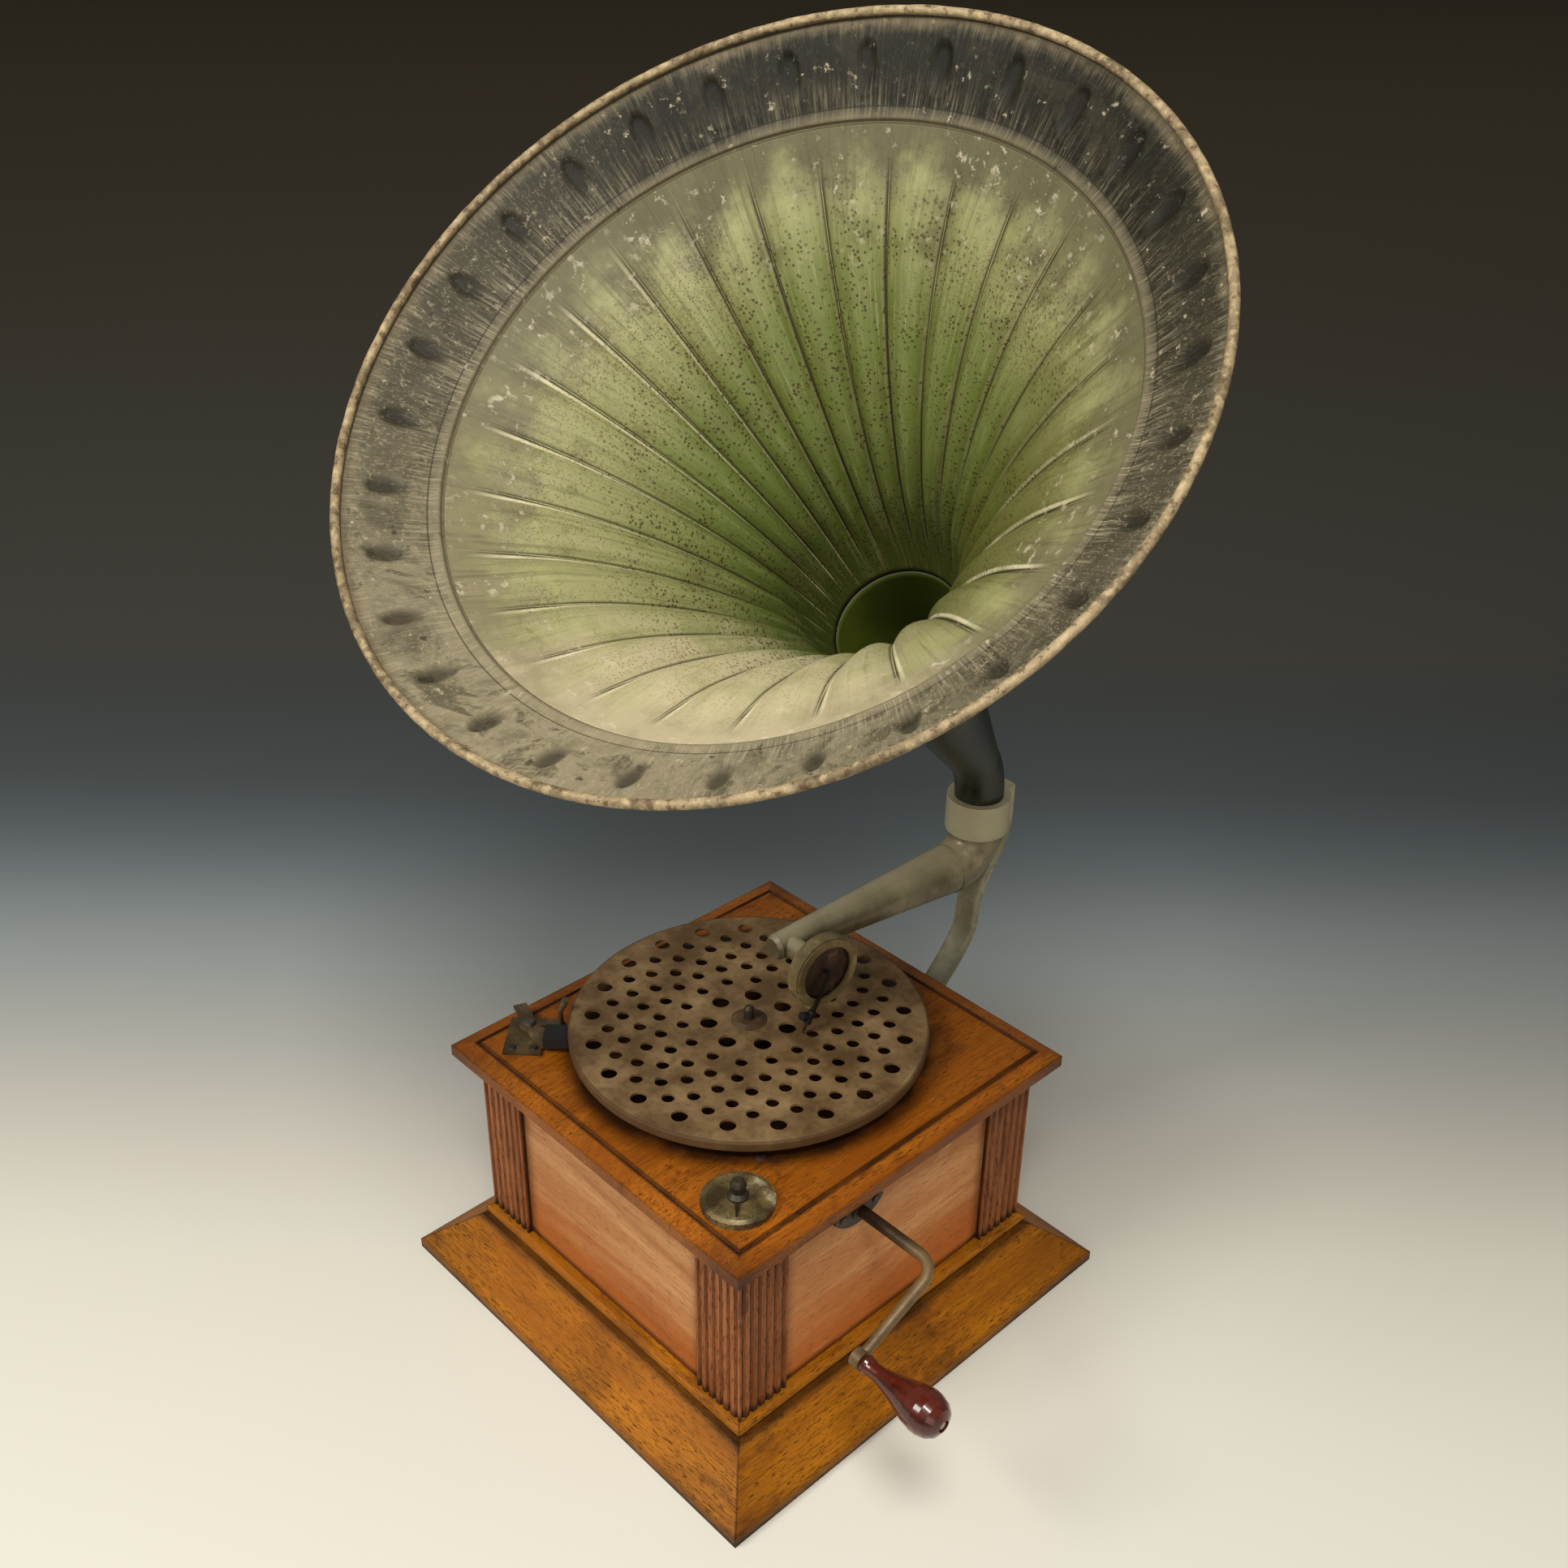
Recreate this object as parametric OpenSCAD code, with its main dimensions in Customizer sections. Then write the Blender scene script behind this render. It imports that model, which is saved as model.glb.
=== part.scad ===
// Table gramophone with an outside horn: a reeded oak case, a perforated turntable,
// a cast back bracket, a tapered tone arm, a fluted horn and a wind-up spring motor.
// The origin is the middle of the underside. The front is -Y and the crank is on +X.

/* [Case] */
// Width of the case body along X
body_w = 272; // [256:1:292]
// Depth of the case body along Y
body_d = 280; // [268:1:300]
// Height of the panels and corner posts
body_h = 142; // [136:1:170]
// Length of each leg of a corner post
post_leg = 42; // [32:1:48]
// Thickness of a corner post's legs
post_t = 14; // [13:0.5:18]
// Distance between two flutes of a corner post
flute_pitch = 7; // [5:0.5:9]
// Radius of a flute
flute_r = 1.7; // [1:0.1:2.2]
// Thickness of the side panels
panel_t = 9; // [6:0.5:9.5]
// Depth of the side panels behind the posts
panel_recess = 4; // [2:0.5:4.5]

/* [Base moulding] */
// Height of the base moulding to the foot of the bead
base_h = 37; // [30:1:44]
// How far the base stands out past the body
base_over = 42; // [30:1:50]
// Height of the base moulding's upright outer edge
base_edge_h = 9; // [6:0.5:14]
// How far the base moulding reaches in under the body
base_in = 20; // [15:1:26]
// Height of the bead under the body
bead_h = 9; // [6:0.5:12]
// How far the bead stands out past the body
bead_over = 5; // [3:0.5:8]
// Thickness of the bottom board
bottom_t = 10; // [6:0.5:14]

/* [Lid board] */
// Thickness of the lid board
lid_t = 12; // [10:0.5:16]
// Overhang of the lid board past the body
lid_over = 14.5; // [10:0.5:20]
// Width of the sloping band outside the groove
lid_band = 14; // [9:0.5:18]
// Fall of the sloping band
lid_fall = 3.5; // [1:0.5:5]
// Radius of the groove round the lid
groove_r = 1.4; // [0.8:0.1:2]

/* [Turntable] */
// Turntable radius
table_r = 127; // [120:0.5:128]
// Depth of the turntable's turned-down rim
table_rim_h = 8; // [5:0.5:10]
// Thickness of the turntable plate
table_t = 2; // [1.5:0.1:3]
// Height of the turntable's top above the lid
table_lift = 17.5; // [15:0.5:24]
// Spindle position along X
spindle_x = -10; // [-14:1:-6]
// Spindle position along Y
spindle_y = 2; // [-2:1:6]
// Radius of the spindle
spindle_r = 4; // [3.5:0.1:5]
// Radius of the spindle's record pin
pin_r = 3.5; // [3:0.1:3.6]
// Height of the record pin above the turntable
pin_h = 12; // [8:0.5:16]
// Number of the biggest holes, next to the hub
hub_holes = 7; // [5:1:8]
// Radius of the biggest holes
hub_hole_r = 6.3; // [4:0.1:7]
// Radius of the small holes
small_hole_r = 4.6; // [3:0.1:5]
// Radius of the holes near the rim
rim_hole_r = 5.7; // [4:0.1:6.2]

/* [Crank] */
// Crank axis position along Y
crank_y = -31.5; // [-36:0.5:-26]
// Crank axis height below the lid board
crank_drop = 26.5; // [26:0.5:30]
// Radius of the crank shaft
crank_r = 4.2; // [3.5:0.1:5]
// How far the crank shaft stands out from the body
crank_out = 66; // [58:1:80]
// Length of the crank arm
crank_arm = 75; // [60:1:85]
// Angle of the crank arm below level
crank_angle = 24.8; // [0:0.1:60]
// Length of the crank grip
grip_l = 66; // [50:1:80]
// Greatest radius of the crank grip
grip_r = 14.6; // [11:0.1:18]
// Radius of the grip's pin
grip_pin_r = 2.5; // [2:0.1:3.2]

/* [Horn bracket] */
// Distance of the collar's axis behind the middle of the case
collar_y = 226; // [220:1:236]
// Height of the collar's top above the lid
collar_top = 117; // [110:1:130]
// Height of the collar
collar_h = 28; // [24:1:36]
// Outer radius of the collar
collar_r = 24; // [22:0.5:28]
// Bore radius of the collar
collar_bore = 18.6; // [16:0.1:20]
// Width of the bracket arm
bracket_w = 14; // [11:0.5:20]
// Thickness of the bracket arm at its strap
bracket_t = 9; // [7:0.5:11]
// Thickness of the bracket arm at its waist
waist_t = 6; // [5:0.5:9]
// Width of the bracket's foot plate
foot_w = 64; // [54:1:80]
// Height of the bracket's foot plate
foot_h = 78; // [66:1:88]
// Thickness of the bracket's foot plate
foot_t = 5; // [4:0.5:8]

/* [Tone arm] */
// Bend radius of the tone arm's elbow
elbow_bend = 28; // [26:0.5:32]
// Outer radius of the tone arm's elbow
elbow_r = 19.5; // [19:0.5:21]
// Length of the tapered part of the tone arm
arm_l = 164; // [158:1:170]
// Swing of the tone arm out of the case's middle plane
arm_yaw = 5.5; // [0:0.5:12]
// Outer radius of the tone arm's tip
arm_tip_r = 9.5; // [8:0.1:11]
// Wall of the tone arm and the horn's neck
tube_wall = 1.6; // [1.2:0.1:2.5]
// Radius of the sound box
box_r = 27; // [24:0.5:29]
// Depth of the sound box
box_t = 12; // [10:0.5:14]
// Distance of the sound box's back from the tone arm's axis
box_off = 34; // [28:0.5:38]
// Angle of the needle from upright
needle_lean = 28; // [20:1:35]
// Radius of the sound box's window
window_r = 20.5; // [17:0.5:21]

/* [Horn] */
// Radius of the horn's mouth at the rolled edge
mouth_r = 244; // [220:1:270]
// Depth of the fluted bell
bell_l = 265; // [240:1:290]
// Radius of the bell's throat
throat_r = 42; // [36:1:48]
// Elevation of the horn's axis
horn_el = 51.3; // [45:0.1:58]
// Turn of the horn in its collar
horn_yaw = 12; // [0:0.5:30]
// Length of the cone between the bell and the bend
cone_l = 191.5; // [180:0.5:210]
// Bend radius of the horn's neck
neck_bend = 60; // [50:1:70]
// Number of flutes in the bell
flute_n = 26; // [20:1:28]
// Depth of a flute
flute_depth = 6; // [2:0.1:7]
// Radius of the rolled rim
roll_r = 4; // [3:0.1:5]
// Thickness of the horn's sheet
sheet_t = 1; // [0.8:0.1:1.6]
// Distance of the pressed ring below the mouth
ring_drop = 32; // [26:1:40]

/* [Speed dial and brake] */
// Distance of the dial's middle from the case's right side
dial_side = 31; // [29:1:34]
// Distance of the dial's middle from the case's front
dial_front = 27; // [24:1:30]
// Radius of the speed dial
dial_r = 24; // [20:0.5:26]
// Radius of the speed knob
knob_r = 5.5; // [4:0.1:8]
// Radius of the speed knob's shaft
knob_shaft_r = 3; // [2.5:0.1:3.5]
// Distance of the brake's pivot from the turntable's rim
brake_gap = 29; // [27:0.5:31]
// Direction of the brake from the spindle
brake_dir = 224.2; // [222:0.1:227]

/* [Motor] */
// Teeth of the spring barrel's wheel
barrel_n = 88; // [84:4:88]
// Teeth of the intermediate wheel
middle_n = 60; // [60:1:60]
// Teeth of each train pinion
pinion_n = 12; // [12:1:12]
// Tooth module of the spring train
train_m = 1; // [0.98:0.01:1]
// Teeth of the governor's driving wheel
gov_wheel_n = 72; // [66:6:72]
// Tooth module of the governor's wheels
gov_m = 0.8; // [0.78:0.01:0.82]
// Teeth of the crown wheel
crown_n = 36; // [36:1:36]
// Teeth of the crank's pinion
crank_n = 12; // [12:1:12]
// Tooth spacing of the crown wheel
crown_pitch = 4; // [3.9:0.05:4.1]
// Thickness of the motor plates
plate_t = 3; // [2:0.5:3.5]
// Height between the two motor plates
frame_h = 89; // [89:0.5:91]
// Radius of the motor's pillars
pillar_r = 5; // [4:0.5:5.5]
// Radius of the spring barrel
barrel_r = 38; // [36:0.5:39]
// Height of the spring barrel
barrel_h = 36; // [34:0.5:37]
// Turns of the mainspring
spring_turns = 7; // [5:1:8]

/* [Hidden] */
$fn = 72;

// Clearance of a shaft in its bore
fit_gap = 0.05;
// Clearance between parts that move past each other
run_gap = 0.3;
// Overshoot of a cutting tool past the face that it cuts
cut = 1;
body_z = base_h + bead_h;
lid_z = body_z + body_h;
deck_z = lid_z + lid_t;
lid_w = body_w + 2 * lid_over;
lid_d = body_d + 2 * lid_over;
table_z = deck_z + table_lift;
crank_z = lid_z - crank_drop;
collar_z = deck_z + collar_top;
base_bar_w = base_over + base_in;
dial_x = body_w / 2 - dial_side;
dial_y = dial_front - body_d / 2;

// Motor: all shafts stand upright and every distance follows the tooth counts
plate_hang = 8;
frame_top = lid_z - plate_hang;
frame_low = frame_top - 2 * plate_t - frame_h;
crown_r = crown_n * crown_pitch / (2 * PI);
crank_pinion_r = crank_n * crown_pitch / (2 * PI);
barrel_pitch_r = barrel_n * train_m / 2;
middle_pitch_r = middle_n * train_m / 2;
pinion_pitch_r = pinion_n * train_m / 2;
gov_wheel_r = gov_wheel_n * gov_m / 2;
gov_pinion_r = pinion_n * gov_m / 2;
arbor_x = spindle_x + 60;
arbor_y = crank_y;
// Third corner of a triangle with given sides: the middle arbor stands in mesh with both neighbours
reach_ab = norm([spindle_x - arbor_x, spindle_y - arbor_y]);
mesh_a = barrel_pitch_r + pinion_pitch_r;
mesh_s = middle_pitch_r + pinion_pitch_r;
along = (mesh_a * mesh_a - mesh_s * mesh_s + reach_ab * reach_ab) / (2 * reach_ab);
aside = sqrt(mesh_a * mesh_a - along * along);
dir_x = (spindle_x - arbor_x) / reach_ab;
dir_y = (spindle_y - arbor_y) / reach_ab;
middle_x = arbor_x + dir_x * along + dir_y * aside;
middle_y = arbor_y + dir_y * along - dir_x * aside;
gov_dir = 252.5;
gov_reach = gov_wheel_r + gov_pinion_r;
gov_x = spindle_x + gov_reach * cos(gov_dir);
gov_y = spindle_y + gov_reach * sin(gov_dir);
arbor_r = 4;
hub_gap = 2;
great_t = 5;
great_z = frame_low + plate_t + hub_gap + fit_gap;
barrel_z = great_z + great_t;
cover_t = 2;
cover_z = barrel_z + barrel_h;
middle_t = 3.5;
middle_z = cover_z + cover_t + hub_gap;
crown_t = 3;
crown_tooth_h = 4.2;
crown_tooth_t = 1;
crown_depth = 2.3;
crown_tip_z = crank_z - crank_pinion_r - crown_pitch * 0.3 + crown_depth;
crown_z = crown_tip_z - crown_tooth_h - crown_t;
ratchet_r = 14;
ratchet_t = 4;
ratchet_z = frame_top - plate_t - 13;
pillar_x = [arbor_x + 34, spindle_x - 26];
pillar_y = [arbor_y - 42.5, arbor_y + 73.5];
plate_margin = 10;
click_dir = 120;
click_reach = ratchet_r + 9;
click_x = arbor_x + click_reach * cos(click_dir);
click_y = arbor_y + click_reach * sin(click_dir);
disc_r = 16;
disc_t = 2.5;
disc_z = frame_low + plate_t + 22;
lever_t = 3;
lever_x = spindle_x + 44;
lever_y = arbor_y - 47.5;
cam_r = 6;
cam_off = 1.2;
stud_r = 3;

// Tooth outline of a spur gear: involute flanks, short tips and a little backlash
function inv(a) = tan(a) * 180 / PI - a;
function half_tooth(r, rb, n, b) = 90 / n * (1 - b) + inv(20) - inv(acos(min(1, rb / r)));
function gear_points(n, m, b) = [
    for (i = [0 : n - 1])
        for (k = [0 : 5])
            let (rb = n * m / 2 * cos(20),
                r_low = n * m / 2 - m,
                r_mid = max(rb, n * m / 2 - 0.3 * m),
                r_tip = n * m / 2 + 0.7 * m,
                r = [r_low, r_mid, r_tip, r_tip, r_mid, r_low][k],
                h = half_tooth(max(r, rb), rb, n, b),
                a = 360 / n * i + (k < 3 ? -h : h))
            [r * cos(a), r * sin(a)]];

module spur(n, m, t, bore) {
    linear_extrude(t)
        difference() {
            polygon(gear_points(n, m, 0.14));
            circle(bore);
        }
}

// Bar of moulding along the -Y side with its ends cut at 45 degrees
module mitred_bar(run, reach, w, h, outline) {
    difference() {
        translate([-run / 2, -reach, 0])
            rotate([90, 0, 90])
                linear_extrude(run)
                    polygon(outline);
        for (s = [0, 1])
            mirror([s, 0, 0])
                translate([0, 0, -cut])
                    linear_extrude(h + 2 * cut)
                        polygon([[-run / 2 - cut, -reach - cut],
                            [-run / 2 + w + cut, -reach + w + cut],
                            [-run / 2 - cut, -reach + w + cut]]);
    }
}

// Base moulding: upright edge, long slope, a thin dark quirk and the rounded bead above it
bead_out = base_over - bead_over;
bead_r = bead_h / 2;
quirk = 1.2;
base_outline = concat(
    [[0, 0], [base_bar_w, 0], [base_bar_w, body_z], [bead_out + bead_r, body_z]],
    [for (a = [110 : 20 : 250])
        [bead_out + bead_r + bead_r * cos(a), base_h + bead_r + bead_r * sin(a)]],
    [[bead_out + bead_r, base_h], [bead_out + quirk, base_h - quirk], [bead_out - quirk, base_h - quirk],
    [bead_out - 2 * quirk, base_h - quirk], [quirk, base_edge_h], [0, base_edge_h - quirk]]);

module base_side(run, reach) {
    color("peru")
        mitred_bar(run, reach, base_bar_w, body_z, base_outline);
}

module base_moulding_front() {
    base_side(body_w + 2 * base_over, body_d / 2 + base_over);
}

module base_moulding_back() {
    rotate([0, 0, 180])
        base_side(body_w + 2 * base_over, body_d / 2 + base_over);
}

module base_moulding_left() {
    rotate([0, 0, -90])
        base_side(body_d + 2 * base_over, body_w / 2 + base_over);
}

module base_moulding_right() {
    rotate([0, 0, 90])
        base_side(body_d + 2 * base_over, body_w / 2 + base_over);
}

module bottom_board() {
    w = body_w - 2 * base_in;
    d = body_d - 2 * base_in;
    color("burlywood")
        translate([-w / 2, -d / 2, 0])
            cube([w, d, bottom_t]);
}

// Corner post: an angle of wood with flutes run down both outer faces
module corner_post(sx, sy) {
    count = floor((post_leg - flute_pitch / 2) / flute_pitch);
    color("sienna")
        translate([sx * body_w / 2, sy * body_d / 2, body_z])
            mirror([sx > 0 ? 1 : 0, 0, 0])
                mirror([0, sy > 0 ? 1 : 0, 0])
                    linear_extrude(body_h)
                        difference() {
                            square([post_leg, post_leg]);
                            translate([post_t, post_t])
                                square([post_leg, post_leg]);
                            for (i = [0 : count]) {
                                translate([flute_pitch * (i + 0.5), 0])
                                    circle(flute_r, $fn = 24);
                                translate([0, flute_pitch * (i + 0.5)])
                                    circle(flute_r, $fn = 24);
                            }
                        }
}

module corner_post_front_left() {
    corner_post(-1, -1);
}

module corner_post_front_right() {
    corner_post(1, -1);
}

module corner_post_back_left() {
    corner_post(-1, 1);
}

module corner_post_back_right() {
    corner_post(1, 1);
}

// Side panel between two posts, standing on the bead and held under the lid
module side_panel(run, reach) {
    translate([-run / 2, -reach + panel_recess, body_z])
        cube([run, panel_t, body_h]);
}

module panel_front() {
    color("rosybrown")
        side_panel(body_w - 2 * post_leg, body_d / 2);
}

module panel_back() {
    color("rosybrown")
        rotate([0, 0, 180])
            side_panel(body_w - 2 * post_leg, body_d / 2);
}

module panel_left() {
    color("rosybrown")
        rotate([0, 0, -90])
            side_panel(body_d - 2 * post_leg, body_w / 2);
}

module panel_right() {
    color("rosybrown")
        difference() {
            rotate([0, 0, 90])
                side_panel(body_d - 2 * post_leg, body_w / 2);
            translate([0, crank_y, crank_z])
                rotate([0, 90, 0])
                    cylinder(r = crank_r + 3 * cut, h = body_w);
        }
}

// Lid board: flat field, groove, sloping band and an upright edge, drilled for what passes through
module lid_slope(run, reach) {
    translate([-run / 2 - cut, -reach, deck_z])
        rotate([90, 0, 90])
            linear_extrude(run + 2 * cut)
                polygon([[-cut, cut], [-cut, -lid_fall * (1 + cut / lid_band)], [lid_band, 0], [lid_band, cut]]);
    translate([-run / 2 + lid_band, -reach + lid_band, deck_z])
        rotate([0, 90, 0])
            cylinder(r = groove_r, h = run - 2 * lid_band, $fn = 24);
}

module lid_board() {
    color("chocolate")
        difference() {
            translate([-lid_w / 2, -lid_d / 2, lid_z])
                cube([lid_w, lid_d, lid_t]);
            for (a = [0, 180])
                rotate([0, 0, a])
                    lid_slope(lid_w, lid_d / 2);
            for (a = [90, 270])
                rotate([0, 0, a])
                    lid_slope(lid_d, lid_w / 2);
            translate([spindle_x, spindle_y, lid_z - cut])
                cylinder(r = spindle_r + 2, h = lid_t + 2 * cut);
            translate([dial_x, dial_y, lid_z - cut])
                cylinder(r = knob_shaft_r + cut, h = lid_t + 2 * cut);
            for (x = pillar_x)
                for (y = pillar_y)
                    translate([x, y, lid_z - cut])
                        cylinder(r = screw_r, h = lid_t + 2 * cut);
        }
}

// Escutcheon: an oval plate with a bushing ring for the crank shaft and two dark screws
esc_w = 23;
esc_l = 46;
esc_t = 2;
esc_boss = 4;
esc_arc = (esc_l * esc_l + esc_w * esc_w) / (4 * esc_w);

module crank_escutcheon() {
    face_x = body_w / 2 - panel_recess;
    color("dimgray")
        translate([face_x, crank_y, crank_z])
            rotate([90, 0, 90])
                difference() {
                    union() {
                        linear_extrude(esc_t)
                            intersection() {
                                translate([0, esc_arc - esc_w / 2])
                                    circle(esc_arc);
                                translate([0, esc_w / 2 - esc_arc])
                                    circle(esc_arc);
                            }
                        cylinder(r = crank_r + 3, h = esc_boss);
                        for (s = [-1, 1])
                            translate([s * esc_l * 0.33, 0, 0])
                                cylinder(r = 3, h = esc_t + 1.2);
                    }
                    translate([0, 0, -cut])
                        cylinder(r = crank_r + fit_gap, h = esc_boss + 2 * cut);
                }
}

// Motor plates: two flat plates held apart by four pillars, bored for every shaft
screw_r = 2.5;

module plate(z, bores) {
    x0 = pillar_x[1] - plate_margin;
    y0 = pillar_y[0] - plate_margin;
    w = pillar_x[0] - pillar_x[1] + 2 * plate_margin;
    d = pillar_y[1] - pillar_y[0] + 2 * plate_margin;
    translate([0, 0, z])
        linear_extrude(plate_t)
            difference() {
                translate([x0, y0])
                    square([w, d]);
                for (b = bores)
                    translate([b[0], b[1]])
                        circle(b[2] + fit_gap);
            }
}

module motor_top_plate() {
    color("darkgray")
        union() {
            plate(frame_top - plate_t, concat([[spindle_x, spindle_y, spindle_r],
                [arbor_x, arbor_y, arbor_r], [middle_x, middle_y, stud_r], [gov_x, gov_y, stud_r - 1]],
                [for (x = pillar_x) for (y = pillar_y) [x, y, screw_r]]));
            translate([click_x, click_y, ratchet_z - cut])
                cylinder(r = stud_r - 1, h = frame_top - plate_t - ratchet_z + cut);
            difference() {
                translate([crank_in + pinion_w + 1.5, crank_y - 9, crank_z - 8])
                    cube([10, 18, frame_top - plate_t - crank_z + 8]);
                translate([crank_in, crank_y, crank_z])
                    rotate([0, 90, 0])
                        cylinder(r = crank_r + fit_gap, h = 30);
            }
        }
}

module motor_bottom_plate() {
    color("darkgray")
        union() {
            plate(frame_low, [[spindle_x, spindle_y, spindle_r],
                [arbor_x, arbor_y, arbor_r], [middle_x, middle_y, stud_r], [gov_x, gov_y, stud_r - 1]]);
            translate([lever_x, lever_y, frame_low + plate_t])
                cylinder(r = stud_r, h = disc_z + lever_t + 3 - frame_low - plate_t);
            translate([lever_x, lever_y, frame_low + plate_t])
                cylinder(r = stud_r + 1, h = disc_z - run_gap - frame_low - plate_t);
        }
}

module motor_pillars() {
    color("silver")
        for (x = pillar_x)
            for (y = pillar_y)
                translate([x, y, frame_low + plate_t])
                    cylinder(r = pillar_r, h = frame_h);
}

// Motor screws: long screws from the lid's top through a spacer to the frame
module motor_screws() {
    color("gray")
        for (x = pillar_x)
            for (y = pillar_y)
                translate([x, y, 0])
                    union() {
                        translate([0, 0, frame_top - plate_t])
                            cylinder(r = screw_r, h = deck_z + cut - frame_top + plate_t);
                        translate([0, 0, deck_z])
                            cylinder(r1 = 4.2, r2 = 3.2, h = 1.8);
                        translate([0, 0, frame_top])
                            cylinder(r = pillar_r, h = plate_hang);
                    }
}

// Horn bracket: a foot plate on the back panel, a curved arm, a strap and the bored collar
ledge_w = 3;
function bez(p, t) = pow(1 - t, 3) * p[0] + 3 * t * pow(1 - t, 2) * p[1]
    + 3 * t * t * (1 - t) * p[2] + pow(t, 3) * p[3];
back_y = body_d / 2 - panel_recess;
elbow_z = collar_z - collar_h;
bend_y = collar_y - elbow_bend;
strap_gap = 3;
strap_r = elbow_bend + elbow_r + strap_gap + bracket_t / 2;
strap_turn = 40;
strap_end = [bend_y + strap_r * cos(strap_turn), elbow_z - strap_r * sin(strap_turn)];
waist = [collar_y - 3, deck_z + 5];
arm_foot = [back_y + foot_t / 2, deck_z - 78];
hook_curve = [strap_end, strap_end - 15 * [sin(strap_turn), cos(strap_turn)], waist + [0, 20], waist];
low_curve = [waist, waist - [0, 15], waist - [33, 50], arm_foot];
steps = 9;
bracket_path = concat([[bend_y + strap_r, collar_z]],
    [for (i = [0 : steps]) [bend_y + strap_r * cos(strap_turn * i / steps),
        elbow_z - strap_r * sin(strap_turn * i / steps)]],
    [for (i = [1 : steps]) bez(hook_curve, i / steps)],
    [for (i = [1 : steps]) bez(low_curve, i / steps)]);

// Outline of a strip along a path, with its thickness running from t0 to t1 over the first half
function side_of(path, i, d) =
    let (a = path[max(0, i - 1)], b = path[min(len(path) - 1, i + 1)], v = (b - a) / norm(b - a))
    path[i] + d * [-v[1], v[0]];
function strip_t(path, i, t0, t1) = t0 + (t1 - t0) * min(1, 2 * i / len(path));
function ribbon(path, t0, t1) = concat(
    [for (i = [0 : len(path) - 1]) side_of(path, i, strip_t(path, i, t0, t1) / 2)],
    [for (i = [len(path) - 1 : -1 : 0]) side_of(path, i, -strip_t(path, i, t0, t1) / 2)]);

module horn_bracket() {
    color("gray")
        difference() {
            union() {
                translate([-bracket_w / 2, 0, 0])
                    rotate([90, 0, 90])
                        linear_extrude(bracket_w)
                            polygon(ribbon(bracket_path, bracket_t, waist_t));
                translate([0, collar_y, elbow_z])
                    cylinder(r = collar_r, h = collar_h);
                translate([-foot_w / 2, back_y, arm_foot[1] - foot_h * 0.7])
                    cube([foot_w, foot_t, foot_h]);
            }
            translate([0, collar_y, elbow_z - cut])
                cylinder(r = collar_bore, h = spigot_h + run_gap + cut);
            translate([0, collar_y, elbow_z])
                cylinder(r = collar_bore - ledge_w, h = collar_h);
            translate([0, collar_y, neck_low - run_gap])
                cylinder(r = collar_bore, h = collar_h);
            foot_holes(screw_r);
        }
}

module foot_holes(r) {
    for (s = [-1, 1])
        for (u = [0.12, 0.88])
            translate([s * foot_w * 0.36, back_y - cut, arm_foot[1] - foot_h * 0.7 + foot_h * u])
                rotate([-90, 0, 0])
                    cylinder(r = r, h = foot_t + 2 * cut);
}

module bracket_screws() {
    color("dimgray")
        for (s = [-1, 1])
            for (u = [0.12, 0.88])
                translate([s * foot_w * 0.36, back_y, arm_foot[1] - foot_h * 0.7 + foot_h * u])
                    rotate([-90, 0, 0])
                        union() {
                            cylinder(r = screw_r, h = foot_t + cut);
                            translate([0, 0, foot_t])
                                cylinder(r1 = 4.6, r2 = 2.6, h = 2);
                        }
}

// Brake: a plate on the lid, a pivot screw and a swinging lever that carries the pad
brake_t = 2;
lever_rise = 4.5;
brake_arm_t = 2.4;

module brake_place() {
    translate([spindle_x + (table_r + brake_gap) * cos(brake_dir),
        spindle_y + (table_r + brake_gap) * sin(brake_dir), deck_z])
        rotate([0, 0, brake_dir - 180])
            children();
}

module brake_plate() {
    color("darkgoldenrod")
        brake_place()
            difference() {
                union() {
                    translate([-15, -27, 0])
                        cube([27, 40, brake_t]);
                    cylinder(r = 5, h = lever_rise - run_gap);
                }
                translate([0, 0, -cut])
                    cylinder(r = screw_r - 1, h = lever_rise + 2 * cut);
                for (x = [-9, 6])
                    translate([x, -21, -cut])
                        cylinder(r = screw_r - 1, h = brake_t + 2 * cut);
            }
}

module brake_screws() {
    color("gray")
        brake_place() {
            for (x = [-9, 6])
                translate([x, -21, 0])
                    union() {
                        cylinder(r = screw_r - 1, h = brake_t + 0.5);
                        translate([0, 0, brake_t])
                            cylinder(r1 = 3.2, r2 = 2.4, h = 1.2);
                    }
            union() {
                cylinder(r = screw_r - 1, h = lever_rise);
                translate([0, 0, lever_rise - run_gap])
                    cylinder(r = screw_r, h = brake_arm_t + 2 * run_gap);
                translate([0, 0, lever_rise + brake_arm_t + run_gap])
                    cylinder(r1 = 4.6, r2 = 3.6, h = 2);
            }
        }
}

module brake_lever() {
    color("darkkhaki")
        brake_place()
            translate([0, 0, lever_rise])
                difference() {
                    union() {
                        cylinder(r = 7, h = brake_arm_t);
                        linear_extrude(brake_arm_t)
                            polygon([[-15, 20], [-6, 24], [1, 10], [2, 6], [22, 6.5], [25, 3.5], [22, 0.5],
                                [7, -2], [22, -8], [26, -12], [26, -24], [12, -24], [2, -12]]);
                        translate([22, 3.5, 0])
                            cylinder(r1 = 2.5, r2 = 1.6, h = 11);
                        translate([22, 3.5, 11])
                            rotate([0, 22, 0])
                                cylinder(r1 = 1.6, r2 = 2.8, h = 12);
                    }
                    translate([0, 0, -cut])
                        cylinder(r = screw_r + fit_gap, h = brake_arm_t + 2 * cut);
                }
}

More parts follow.
